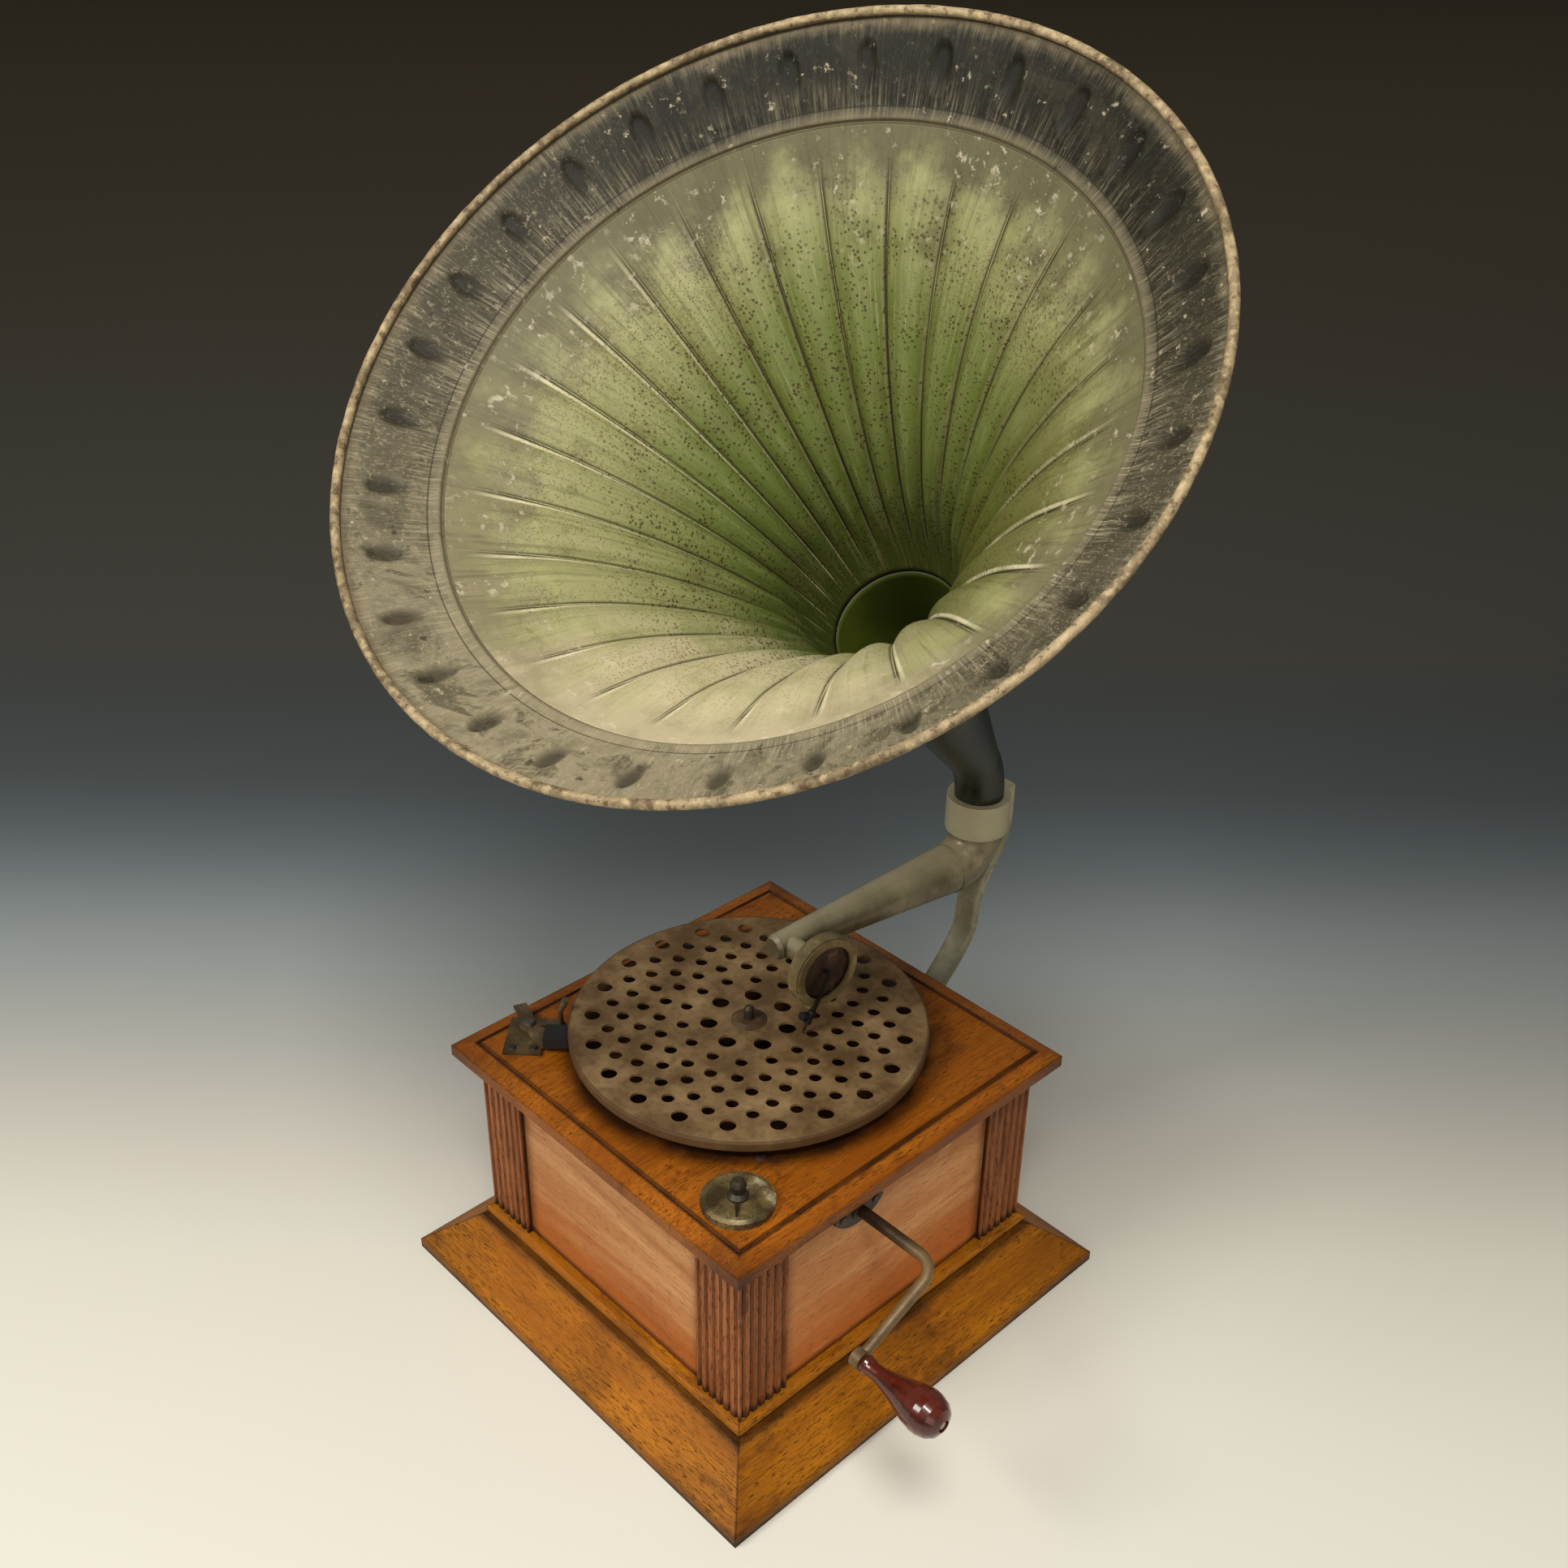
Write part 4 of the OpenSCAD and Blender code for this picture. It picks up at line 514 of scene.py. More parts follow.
def join_rows(work, rows):
    """Faces between each ring of points and the next."""
    for low, high in zip(rows, rows[1:]):
        for k in range(len(low)):
            after = (k + 1) % len(low)
            work.faces.new((low[k], low[after], high[after], high[k]))


def make_piece(name, work, material):
    """The working mesh as an object at the origin, its faces turned outwards."""
    bmesh.ops.recalc_face_normals(work, faces=work.faces)
    mesh = bpy.data.meshes.new(name)
    work.to_mesh(mesh)
    work.free()
    mesh.materials.append(material)
    for face in mesh.polygons:
        face.use_smooth = len(face.vertices) == 4
    o = bpy.data.objects.new(name, mesh)
    bpy.context.scene.collection.objects.link(o)
    return o


strap_end = strap_turn(STRAP_TURN)
strap_way = Vector((0, -math.sin(STRAP_TURN), -math.cos(STRAP_TURN)))
strap_line = [Vector((0, STRAP_TURN_Y + STRAP_R, STRAP_TOP))]
strap_line += [strap_turn(STRAP_TURN * k / 12) for k in range(13)]
strap_line += [bezier(strap_end, strap_end + strap_way * 0.015, waist + Vector((0, 0, 0.020)), waist, k / 12)
               for k in range(1, 13)]
strap_line += [bezier(waist, waist - Vector((0, 0, 0.015)), waist - Vector((0, 0.033, 0.050)), strap_foot, k / 14)
               for k in range(1, 15)]
work = bmesh.new()
rows = []
last = len(strap_line) - 1
for k, middle in enumerate(strap_line):
    share = k / last
    way = (strap_line[min(k + 1, last)] - strap_line[max(k - 1, 0)]).normalized()
    inward = Vector((0, way.z, -way.y))
    half_w = HALF_W_TOP + (HALF_W_FOOT - HALF_W_TOP) * share
    half_t = HALF_T_TOP + (HALF_T_FOOT - HALF_T_TOP) * min(1.0, 2 * share)
    row = []
    for j in range(STRAP_SIDES):
        a = math.tau * j / STRAP_SIDES
        c, n = math.cos(a), math.sin(a)
        x = half_w * math.copysign(abs(c) ** SQUARISH, c)
        y = half_t * math.copysign(abs(n) ** SQUARISH, n) + 0.0006 * (1 - share)
        row.append(work.verts.new(middle + Vector((x, 0, 0)) + inward * y))
    rows.append(row)
join_rows(work, rows)
work.faces.new(rows[0])
work.faces.new(rows[-1])
strap = make_piece("bracket_strap", work, zinc)
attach(strap, "case")
cover("bracket_screws", cast("screw_metal", (50, 48, 42), (90, 86, 78), (136, 132, 120), 2.0, 0.4))


def top_highlight(tree, where):
    """A painted highlight along the arm's upper side, where its surface faces up."""
    facing = tree.nodes.new("ShaderNodeNewGeometry").outputs["Normal"]
    up = split(tree, facing)[2] + (noise(tree, where, 45.0, 4) - 0.5) * 0.7
    return up.band(0.20, 1.15) * 0.60


arm = cast("arm_metal", (88, 80, 54), (130, 119, 88), (178, 165, 128), 1.1, 0.30, 0.12, 0.25, wear_and_shading_mask=top_highlight,
           wear_and_shading=(206, 193, 156))
cover("tone_arm", arm)

# The sound box: a cast ring with a mica disc behind its window, and a blackened steel bar
# that pivots on the ring and holds the needle with a thumb screw.

ring = cast("soundbox_metal", (96, 80, 46), (140, 122, 80), (208, 192, 146), 1.6, 0.4, 0.2, 0.3)
cover("soundbox_case", ring)
mica = cast("mica_disc", (26, 14, 8), (60, 36, 22), (124, 92, 74), 3.2, 0.35, 0.0, 0.2, coat=0.2)
cover("diaphragm", mica)
blacked = cast("blackened_steel", (20, 18, 16), (38, 34, 30), (74, 68, 60), 2.0, 0.4, 0.4, 0.2)
cover("needle_bar", blacked)
for piece in ("needle_screw", "needle"):
    cover(piece, blacked)

# The horn: a bell of 26 pressed petals inside a beaded ring, an outer band with 30 pressed
# dimples, a rolled edge, and a tapered neck that bends down into the collar. It is sheet
# iron, and outside it is painted nearly black, with small spots of rust.

COLLAR = Vector((0, 0.226, 0))
NECK_LOW, NECK_TOP = 0.305, 0.317
NECK_R, NECK_BEND, BEND = 0.01855, 0.060, math.radians(38.7)
CONE_L, THROAT_R, BELL_L, MOUTH_R, ROLL_R = 0.1915, 0.042, 0.265, 0.244, 0.004
RING_Z, PETALS, DIMPLES = 0.233, 26, 30
SHEET, NECK_SHEET, FLUTE_DEPTH, ROLL_WIRE = 0.001, 0.0014, 0.0078, 0.0026
FLARE = math.log((MOUTH_R - ROLL_R) / THROAT_R) / BELL_L
RING_R = THROAT_R * math.exp(FLARE * RING_Z)
HORN_YAW = math.radians(12)
horn_turn = Matrix.Translation(COLLAR) @ Matrix.Rotation(HORN_YAW, 4, "Z")
cone_foot = Vector((0, -NECK_BEND * (1 - math.cos(BEND)), NECK_TOP + NECK_BEND * math.sin(BEND)))
cone_way = Vector((0, -math.sin(BEND), math.cos(BEND)))
bell_place = horn_turn @ Matrix.Translation(cone_foot + cone_way * CONE_L) @ Matrix.Rotation(BEND, 4, "X")


def sheet_grid(tree, columns, rows):
    """A grid of unit size and its two shares, 0 to 1 along and up."""
    g = put(tree, "GeometryNodeMeshGrid", Vertices_X=columns, Vertices_Y=rows)
    x, y, z = split(tree, tree.nodes.new("GeometryNodeInputPosition").outputs[0])
    return g.outputs[0], x + 0.5, y + 0.5


def shape_grid(tree, material, mesh, angle, radius, z, **kept):
    """Rolls the grid up round Z, keeps named values on its points and ends the tree."""
    for key, value in kept.items():
        s = put(tree, "GeometryNodeStoreNamedAttribute", {"data_type": "FLOAT", "domain": "POINT"},
                Geometry=mesh, Name=key, Value=value)
        mesh = s.outputs[0]
    p = put(tree, "ShaderNodeCombineXYZ", X=angle.math("COSINE") * radius, Y=angle.math("SINE") * radius, Z=z)
    mesh = put(tree, "GeometryNodeSetPosition", Geometry=mesh, Position=p.outputs[0]).outputs[0]
    end_tree(tree, mesh, material)


def thicken(o, thickness, back):
    """Sheet metal: a second skin with its own material on the far side."""
    o.data.materials.append(back)
    s = o.modifiers.new("sheet", "SOLIDIFY")
    s.thickness = thickness
    s.offset = -1
    s.material_offset = 1
    s.material_offset_rim = 1
    return o


def own(tree, name):
    """A value kept on the mesh's points."""
    return Wire(tree, put(tree, "ShaderNodeAttribute", {"attribute_name": name}).outputs["Fac"])


m, t, where = start("horn_black_paint")
cloud = noise(t, where, 14.0, 5, (1, 1, 1), 0.6)
tone = blend_colour(t, cloud.band(0.35, 0.7), tint((20, 23, 12)), tint((48, 50, 34)))
rust = spots(t, where, 260.0, 0.22) * noise(t, where, 9.0, 3).band(0.5, 0.7)
tone = blend_colour(t, rust, tone, tint((92, 62, 34)))
horn_black = close(m, tone, cloud * 0.3 + 0.22, cloud * 0.5 - rust * 0.4, 0.0003, coat=0.15, coat_rough=0.2,
                   specular=0.35)

# The petals: flutes that are deepest half way up and fade out at the throat and the ring.
# Their green paint has gone grey at the ends and is specked with rust. A painted highlight
# runs beside each crease, with a dark line of grime and painted shade along it; painted light
# makes the lower petals lighter and painted shade darkens the right side.

m, t, where = start("petal_green_paint")
reach, petal, low, right = own(t, "reach"), own(t, "petal"), own(t, "low"), own(t, "right")
cloud = noise(t, where, 7.0, 5, (1, 1, 1), 0.62)
mottle = noise(t, where, 34.0, 5, (1, 1, 1), 0.62)
grit = noise(t, where, 150.0, 4, (1, 1, 1), 0.65)
smear_at = put(t, "ShaderNodeCombineXYZ", X=petal * 3.0, Y=reach * 7.0, Z=low * 9.0).outputs[0]
smear = noise(t, smear_at, 1.6, 5, (1, 1, 1), 0.65)
green = blend_colour(t, (reach + (cloud - 0.5) * 0.16).band(0.20, 0.50), tint((46, 60, 10)), tint((96, 110, 46)))
green = blend_colour(t, low.band(0.1, -0.9) * 0.35, green, tint((82, 90, 32)))
tone = blend_colour(t, (reach + (cloud - 0.5) * 0.30 + low * 0.15).band(0.42, 0.84), green, tint((150, 148, 100)))
from_crown = (petal - 0.5).math("ABSOLUTE")
ends = (reach + (mottle - 0.5) * 0.40 + (cloud - 0.5) * 0.2 + from_crown * 0.16).band(0.80, 1.02)
grey = blend_colour(t, (low + (mottle - 0.5) * 1.2).band(-0.6, 1.0), tint((80, 76, 52)), tint((124, 114, 88)))
tone = blend_colour(t, mottle.band(0.50, 0.70) * 0.5, tone, tint((84, 84, 38)))
dingy = grit.band(0.46, 0.62) * reach.band(0.60, 0.90) * cloud.band(0.35, 0.60)
tone = blend_colour(t, dingy * 0.45, tone, tint((84, 76, 50)))
brown = from_crown.band(0.34, 0.49) * (low + (mottle - 0.5) * 1.2).band(0.1, -0.8)
tone = blend_colour(t, brown * reach.band(0.98, 0.80) * 0.4, tone, tint((88, 74, 34)))
tone = blend_colour(t, smear.band(0.50, 0.72) * 0.25, tone, tint((160, 154, 112)))
brush_at = put(t, "ShaderNodeCombineXYZ", X=right * 46.0, Y=low * 46.0, Z=reach * 3.0).outputs[0]
brush = noise(t, brush_at, 1.0, 5, (1, 1, 1), 0.7, 0.6)
tone = blend_colour(t, brush.band(0.50, 0.68) * 0.55, tone, tint((80, 80, 40)))
bare = reach.band(0.30, 0.60) * (reach + (mottle - 0.5) * 0.3).band(0.93, 0.76)
bare = bare * (right.band(1.0, 0.0) * 0.7 + 0.3)
tone = blend_colour(t, brush.band(0.46, 0.32) * bare * 0.40, tone, tint((172, 164, 124)))
middle = from_crown.band(0.34, 0.05) * (low + (mottle - 0.5) * 0.8).band(0.75, -0.5)
tone = blend_colour(t, middle * bare * 0.12, tone, tint((172, 172, 124)))
tone = blend_colour(t, ends * 0.85, tone, grey)
scuff = brush.band(0.44, 0.62) * mottle.band(0.40, 0.62) * reach.band(0.72, 0.90)
tone = blend_colour(t, scuff * 0.45, tone, tint((84, 76, 54)))
shade = (right + (mottle - 0.5) * 0.8 - low.math("ABSOLUTE") * 0.3).band(0.25, 1.0)
shade = shade * reach.band(0.95, 0.75)
tone = blend_colour(t, shade * 0.75, tone, tint((80, 80, 24)))
# Painted light: the lower petals are made lighter half way up the bell.
lip_highlight = (low + (mottle - 0.5) * 0.9 + right * 0.25).band(0.62, 1.15)
lip_highlight = lip_highlight * (reach + (mottle - 0.5) * 0.3).band(0.36, 0.56)
tone = blend_colour(t, lip_highlight * 0.6, tone, tint((210, 194, 158)))
past_throat = reach.band(0.225, 0.27)
# A dark line of grime and painted shade along each crease.
crease_dirt_and_shade = from_crown.band(0.440, 0.490) * past_throat
fading = (reach + (mottle - 0.5) * 0.1).band(0.96, 0.85)
tone = blend_colour(t, crease_dirt_and_shade * fading * 0.9, tone, tint((42, 38, 16)))
# A painted highlight beside each crease, strongest on the lower and left petals.
crease_highlight = (petal - 0.062).math("ABSOLUTE").band(0.042, 0.010) * fading * past_throat
crease_highlight = crease_highlight * (mottle.band(0.3, 0.55) * 0.6 + 0.4) * ((low - right * 0.15).band(-0.70, 0.20) * 0.75 + 0.10)
tone = blend_colour(t, crease_highlight, tone, tint((214, 204, 166)))
tone = blend_colour(t, reach.band(0.224, 0.219) * 0.8, tone, tint((34, 34, 10)))
speck = spots(t, where, 330.0, 0.30) * mottle.band(0.36, 0.56) * (reach + low * 0.12).band(0.92, 0.62)
tone = blend_colour(t, speck * 0.8, tone, tint((58, 40, 14)))
fine = spots(t, where, 560.0, 0.32) * cloud.band(0.38, 0.56) * reach.band(0.98, 0.80)
tone = blend_colour(t, fine * 0.6, tone, tint((80, 54, 22)))
dust = (grit.band(0.56, 0.66) * reach.band(0.62, 0.95) * mottle.band(0.40, 0.62)).math("MINIMUM", 1.0)
tone = blend_colour(t, dust * 0.6, tone, tint((204, 194, 164)))
petal_green = close(m, tone, mottle * 0.22 + 0.46, mottle * 0.4 + grit * 0.3 - speck * 0.6, 0.0005, specular=0.3)

PETAL_COLUMNS, PETAL_ROWS = 12, 96
petal_sizes = {"throat": THROAT_R, "flare": FLARE, "depth": FLUTE_DEPTH, "ring": RING_Z}
tree, size = new_tree("petals", **petal_sizes)
grid, across, up = sheet_grid(tree, PETALS * PETAL_COLUMNS + 1, PETAL_ROWS)
turn = across * PETALS
cell = turn.math("FLOOR")
part = turn - cell
part = part - (part * math.tau).math("SINE") * (0.85 / math.tau)
z = (up.less_from(1.0).math("POWER", 1.35)).less_from(1.0) * size["ring"]
plain = (z * size["flare"]).math("EXPONENT") * size["throat"]
off = (part - 0.5) * (part - 0.5)
fade = (plain / RING_R + off * 0.26).band(0.95, 0.78) * (plain / RING_R).band(0.225, 0.34)
bulge = ((part * math.pi).math("SINE").math("MAXIMUM", 0.0)).math("POWER", 0.7)
crest = (part - 0.965).math("ABSOLUTE").band(0.03, 0.0)
radius = plain - size["depth"] * fade * bulge - crest * fade * 0.0008
angle = (cell + part) * (math.tau / PETALS)
shape_grid(tree, petal_green, grid, angle, radius, z, reach=plain / RING_R, petal=part,
           low=angle.math("SINE") * -1, right=angle.math("COSINE"))
petals = run_tree("horn_petals", tree, petal_green, bell_place, petal_sizes)
thicken(petals, SHEET, horn_black)

# The band outside the ring: the same sheet with a pressed bead and 30 oval dimples, in
# charcoal paint that is brushed with dust below and chipped everywhere. Painted light makes
# the paint lighter below and darker above, and painted shade darkens the dimples.

m, t, where = start("band_charcoal")
reach, turn, low, hollow = own(t, "reach"), own(t, "turn"), own(t, "low"), own(t, "hollow")
streak_at = put(t, "ShaderNodeCombineXYZ", X=turn * 150.0, Y=reach * 1.6, Z=0.0).outputs[0]
streak = noise(t, streak_at, 1.0, 4, (1, 1, 1), 0.7, 0.4)
cloud = noise(t, where, 10.0, 4)
mottle = noise(t, where, 60.0, 4, (1, 1, 1), 0.65)
grit = noise(t, where, 170.0, 4, (1, 1, 1), 0.65)
smoke = noise(t, where, 22.0, 5, (1, 1, 1), 0.68, 1.2)
# Painted light: the paint is lighter on the band's lower side and darker on its upper side.
side = (low + (cloud - 0.5) * 0.7).band(-0.85, 0.10)
tone = blend_colour(t, side, tint((25, 24, 14)), tint((66, 61, 46)))
dusty = (low + (cloud - 0.5) * 0.6 + (smoke - 0.5) * 2.4).band(0.05, 1.35)
tone = blend_colour(t, dusty * 0.80, tone, tint((160, 148, 118)))
tone = blend_colour(t, smoke.band(0.50, 0.62) * 0.72, tone, tint((44, 40, 28)))
hair_at = put(t, "ShaderNodeCombineXYZ", X=turn * 60.0 + reach * 5.0, Y=reach * 7.0 - turn * 20.0, Z=4.0).outputs[0]
hair = noise(t, hair_at, 1.6, 4, (1, 1, 1), 0.7, 1.4).band(0.54, 0.64)
tone = blend_colour(t, hair * (side * 0.35 + 0.05), tone, tint((168, 156, 126)))
swept = (reach.band(0.62, 0.14) + reach.band(0.80, 0.97)).math("MINIMUM", 1.0)
brushed = streak.band(0.46, 0.68) * (swept * 0.70 + 0.12) * (side * 0.6 + 0.4)
tone = blend_colour(t, brushed, tone, tint((156, 146, 118)))
near = (reach + (mottle - 0.5) * 0.12).band(0.20, 0.06)
tone = blend_colour(t, near * 0.7, tone, tint((128, 118, 92)))
edge = (reach + (mottle - 0.5) * 0.3).band(0.86, 1.02)
tone = blend_colour(t, edge * 0.6, tone, tint((128, 114, 88)))
line = (reach - 0.030).math("ABSOLUTE").band(0.010, 0.002) + (reach - 0.178).math("ABSOLUTE").band(0.012, 0.003)
tone = blend_colour(t, line * 0.7, tone, tint((34, 30, 18)))
chip = grit.band(0.60, 0.68) * mottle.band(0.46, 0.62)
tone = blend_colour(t, chip * 0.6, tone, tint((196, 184, 152)))
scar = grit.band(0.42, 0.34) * mottle.band(0.50, 0.62)
tone = blend_colour(t, scar * 0.7, tone, tint((40, 32, 18)))
# Painted shade in the dimples.
tone = blend_colour(t, hollow * 0.75, tone, tint((22, 20, 14)))
band_paint = close(m, tone, streak * 0.2 + 0.48, streak * 0.35 + grit * 0.3 - chip * 0.2, 0.0005, specular=0.18)

DIMPLE_COLUMNS, BAND_ROWS = 24, 44
band_sizes = {"throat": THROAT_R, "flare": FLARE, "ring": RING_Z, "mouth": BELL_L}
tree, size = new_tree("band", **band_sizes)
grid, across, up = sheet_grid(tree, DIMPLES * DIMPLE_COLUMNS + 1, BAND_ROWS)
z = size["ring"] + (size["mouth"] - size["ring"]) * up
plain = (z * size["flare"]).math("EXPONENT") * size["throat"]
bead = (up - 0.10).math("ABSOLUTE").band(0.07, 0.0)
part = (across * DIMPLES) - (across * DIMPLES).math("FLOOR") - 0.5
oval = ((part / 0.165) * (part / 0.165) + ((up - 0.57) / 0.27) * ((up - 0.57) / 0.27)).math("SQRT")
hollow = oval.band(1.0, 0.40)
lifted = (oval - 1.06).math("ABSOLUTE").band(0.16, 0.0)
radius = plain - bead * 0.0028 + hollow * 0.0040 - lifted * 0.0007
angle = across * math.tau
shape_grid(tree, band_paint, grid, angle, radius, z, reach=up, turn=angle, hollow=hollow,
           low=angle.math("SINE") * -1)
band = run_tree("horn_band", tree, band_paint, bell_place, band_sizes)
thicken(band, SHEET, horn_black)
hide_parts("horn_bell")
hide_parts("horn_bell")

# The rolled edge: the band's rim is turned over a wire. The paint is gone from it, down to
# tan and rusty metal with small dents.

m, t, where = start("rolled_edge_rust")
cloud = noise(t, where, 26.0, 5, (1, 1, 1), 0.65)
grit = noise(t, where, 190.0, 4, (1, 1, 1), 0.65)
tone = blend_colour(t, cloud.band(0.36, 0.62), tint((112, 96, 70)), tint((160, 140, 106)))
tone = blend_colour(t, grit.band(0.50, 0.66) * 0.55, tone, tint((196, 176, 134)))
tone = blend_colour(t, grit.band(0.46, 0.36) * 0.7, tone, tint((74, 54, 32)))
edge_rust = close(m, tone, grit * 0.3 + 0.45, grit, 0.0008, metallic=0.1, specular=0.3)

EDGE_COLUMNS, EDGE_ROWS = 360, 17
roll_sizes = {"reach": MOUTH_R - ROLL_R * 0.6, "roll": ROLL_WIRE, "rise": BELL_L + ROLL_R * 0.8}
tree, size = new_tree("roll", **roll_sizes)
grid, across, up = sheet_grid(tree, EDGE_COLUMNS + 1, EDGE_ROWS)
wave = put(tree, "ShaderNodeTexNoise", {"noise_dimensions": "3D"}, Scale=9.0, Detail=4.0, Vector=put(
    tree, "ShaderNodeCombineXYZ", X=(across * math.tau).math("COSINE") * 3,
    Y=(across * math.tau).math("SINE") * 3, Z=(up * math.tau).math("SINE") * 0.25).outputs[0])
roll = size["roll"] * ((Wire(tree, wave.outputs[0]) - 0.5) * 0.5 + 1.0)
radius = size["reach"] + (up * math.tau).math("COSINE") * roll
shape_grid(tree, edge_rust, grid, across * math.tau, radius, size["rise"] + (up * math.tau).math("SINE") * roll)
roll = run_tree("horn_rolled_edge", tree, edge_rust, bell_place, roll_sizes)
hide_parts("horn_rim")

# The neck: a short straight foot that stands in the collar, a bend, and a cone up to the
# throat, in one skin of the same sheet, black outside and green inside.


def tube_rings(rings, sides):
    """A tube through (centre, direction, radius) rings, as one open skin."""
    work = bmesh.new()
    rows = []
    for centre, way, radius in rings:
        side = Vector((1, 0, 0))
        other = way.cross(side).normalized()
        row = []
        for k in range(sides):
            a = math.tau * k / sides
            row.append(work.verts.new(centre + (side * math.cos(a) + other * math.sin(a)) * radius))
        rows.append(row)
    join_rows(work, rows)
    return work


m, t, where = start("neck_paint_inside")
cloud = noise(t, where, 12.0, 5)
tone = blend_colour(t, cloud.band(0.35, 0.7), tint((50, 58, 6)), tint((80, 88, 16)))
tone = blend_colour(t, spots(t, where, 300.0, 0.2) * 0.6, tone, tint((48, 40, 16)))
neck_green = close(m, tone, cloud * 0.2 + 0.4, cloud, 0.0003)

NECK_SIDES, FOOT_STEPS, BEND_STEPS, CONE_STEPS = 96, 3, 14, 40
neck_rings = [(Vector((0, 0, NECK_LOW + (NECK_TOP - NECK_LOW) * k / FOOT_STEPS)), Vector((0, 0, 1)), NECK_R)
              for k in range(FOOT_STEPS)]
for k in range(BEND_STEPS + 1):
    a = BEND * k / BEND_STEPS
    middle = Vector((0, -NECK_BEND * (1 - math.cos(a)), NECK_TOP + NECK_BEND * math.sin(a)))
    neck_rings.append((middle, Vector((0, -math.sin(a), math.cos(a))), NECK_R))
for k in range(1, CONE_STEPS + 1):
    share = k / CONE_STEPS
    radius = NECK_R + (THROAT_R + SHEET - NECK_R) * share
    neck_rings.append((cone_foot + cone_way * (CONE_L * share), cone_way, radius))
neck = make_piece("horn_neck", tube_rings(neck_rings, NECK_SIDES), horn_black)
neck.data.transform(horn_turn)
thicken(neck, NECK_SHEET, neck_green)
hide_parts("horn_elbow")
for o, slot in ((petals, "horn_green"), (band, "horn_dark"), (roll, "horn_edge"), (neck, "horn_dark")):
    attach(o, "horn")

# The motor inside the case, out of sight: steel plates on four pillars that hang from the
# lid on screws, brass wheels, blued springs and a leather pad on the governor.

brass = cast("wheel_brass", (120, 88, 34), (176, 138, 60), (214, 184, 104), 1.6, 0.32, 0.9, 0.15)
blued = cast("blued_spring", (28, 34, 52), (50, 60, 86), (86, 96, 120), 1.4, 0.3, 0.9, 0.1)
cover("motor_screws", cast("browned_screw", (34, 18, 8), (56, 32, 14), (84, 54, 28), 2.0, 0.55, 0.1, 0.2))
for piece in ("motor_top_plate", "motor_bottom_plate", "motor_pillars", "spring_arbor", "ratchet_wheel",
              "winding_click", "middle_arbor", "governor_shaft", "speed_lever"):
    cover(piece, steel)
for piece in ("crank_pinion", "crown_wheel", "spring_barrel", "barrel_cover", "middle_wheel", "governor_wheel",
              "governor_weights", "governor_disc"):
    cover(piece, brass)
for piece in ("mainspring", "governor_springs"):
    cover(piece, blued)
cover("speed_pad", black_leather)

# The stage: one floor whose colour is painted lightest just in front of the object, greyer
# nearer the camera and dark behind it, as painted light falling off into the background; two soft boxes and a weak
# fill, and the camera.

AZ, EL, ROLL = math.radians(45.99), math.radians(30.51), math.radians(0.87)
CAMERA_AT, LENS, SENSOR = Vector((0.69991, -0.65313, 0.97915)), 39.775, 36
FLOOR_HALF, FLOOR_DROP, RAMP_FROM, RAMP_SPAN = 30, 0.0002, -3.0, 12.0
m, t, where = start("studio_floor")
x, y, z = split(t, where)
away = x * -math.sin(AZ) + y * math.cos(AZ)
away = away + (noise(t, where, 1.1, 3) - 0.5) * 0.05
ramp = put(t, "ShaderNodeValToRGB", Fac=(away - RAMP_FROM) / RAMP_SPAN)
ramp.color_ramp.interpolation = "B_SPLINE"
steps = ((-3.0, (132, 130, 122)), (-1.9, (132, 130, 122)), (-1.2, (136, 134, 126)), (-0.8, (176, 173, 163)),
         (-0.56, (219, 216, 204)), (-0.42, (219, 216, 204)), (-0.30, (219, 216, 204)), (0.0, (212, 209, 195)),
         (0.14, (190, 184, 175)), (0.28, (154, 157, 152)), (0.40, (138, 145, 146)), (0.54, (92, 100, 103)),
         (0.70, (67, 72, 74)), (1.05, (60, 62, 59)), (5.2, (92, 81, 62)), (9.0, (60, 54, 40)))
for k, (place, colour) in enumerate(steps):
    at = (place - RAMP_FROM) / RAMP_SPAN
    stop = ramp.color_ramp.elements[k] if k < 2 else ramp.color_ramp.elements.new(at)
    stop.position = at
    stop.color = tint(colour)
close(m, ramp.outputs[0], 0.9, specular=0.1)
mesh = bpy.data.meshes.new("floor")
mesh.from_pydata([(FLOOR_HALF * i, FLOOR_HALF * j, 0) for i, j in ((-1, -1), (1, -1), (1, 1), (-1, 1))], [],
                 [(0, 1, 2, 3)])
mesh.materials.append(m)
floor = bpy.data.objects.new("floor", mesh)
bpy.context.scene.collection.objects.link(floor)
floor.location = (0, 0, -FLOOR_DROP)
LAMP_AIM = Vector((0, 0, 0.3))


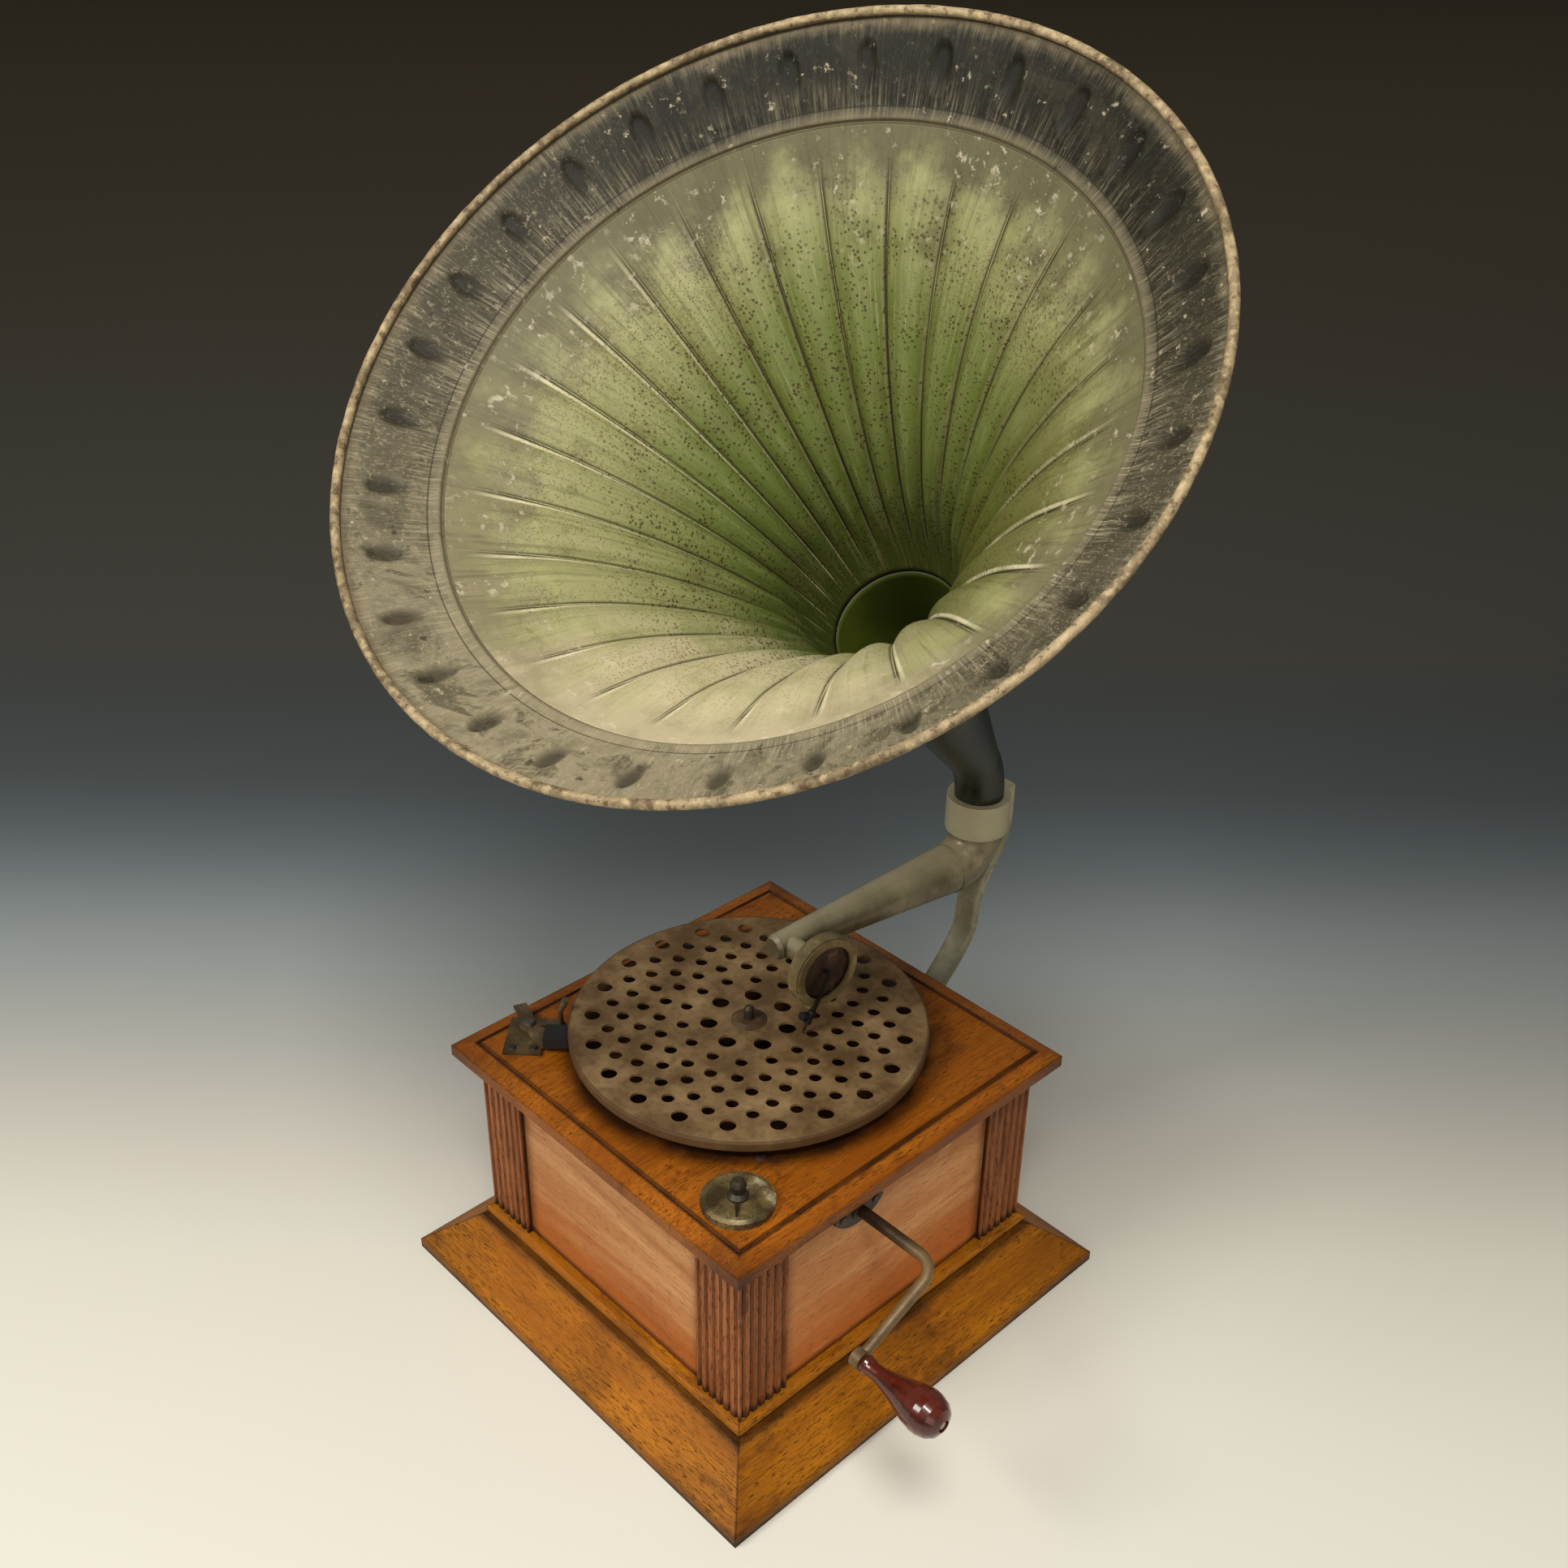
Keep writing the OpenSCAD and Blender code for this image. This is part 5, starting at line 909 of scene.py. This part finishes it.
def soft_box(name, place, size, power, tone):
    """A square area light that faces the object."""
    lamp = bpy.data.lights.new(name, "AREA")
    lamp.size = size
    lamp.energy = power
    lamp.color = tone
    o = bpy.data.objects.new(name, lamp)
    bpy.context.scene.collection.objects.link(o)
    o.location = place
    o.rotation_mode = "QUATERNION"
    o.rotation_quaternion = (LAMP_AIM - Vector(place)).to_track_quat("-Z", "Y")
    return o


lamps = [soft_box("box_right", (1.20, -1.00, 2.95), 0.9, 66, (1, 0.98, 0.95)),
         soft_box("box_left", (-0.60, -2.35, 2.45), 1.2, 62, (1, 0.98, 0.94)),
         soft_box("fill", (1.6, -1.7, 1.0), 1.6, 10, (1, 0.97, 0.92))]

world = bpy.data.worlds.new("room")
bpy.context.scene.world = world
world.use_nodes = True
room = world.node_tree
room.nodes["Background"].inputs[0].default_value = tint((200, 196, 186))
room.nodes["Background"].inputs[1].default_value = 0.35
far_wall = put(room, "ShaderNodeBackground", Color=tint((52, 48, 40)), Strength=1.0)
seen = room.nodes.new("ShaderNodeLightPath").outputs["Is Camera Ray"]
either = put(room, "ShaderNodeMixShader", Fac=seen)
room.links.new(room.nodes["Background"].outputs[0], either.inputs[1])
room.links.new(far_wall.outputs[0], either.inputs[2])
room.links.new(either.outputs[0], room.nodes["World Output"].inputs[0])

back = Vector((math.sin(AZ) * math.cos(EL), -math.cos(AZ) * math.cos(EL), math.sin(EL)))
right = Vector((math.cos(AZ), math.sin(AZ), 0))
up = back.cross(right)
side = right * math.cos(ROLL) + up * math.sin(ROLL)
top = up * math.cos(ROLL) - right * math.sin(ROLL)
camera = bpy.data.objects.new("camera", bpy.data.cameras.new("camera"))
bpy.context.scene.collection.objects.link(camera)
camera.data.lens = LENS
camera.data.sensor_width = SENSOR
camera.data.clip_start = 0.01
camera.data.clip_end = 100
camera.matrix_world = Matrix([(side[i], top[i], back[i], CAMERA_AT[i]) for i in range(3)] + [(0, 0, 0, 1)])
bpy.context.scene.camera = camera
bpy.context.scene.view_settings.view_transform = "Standard"
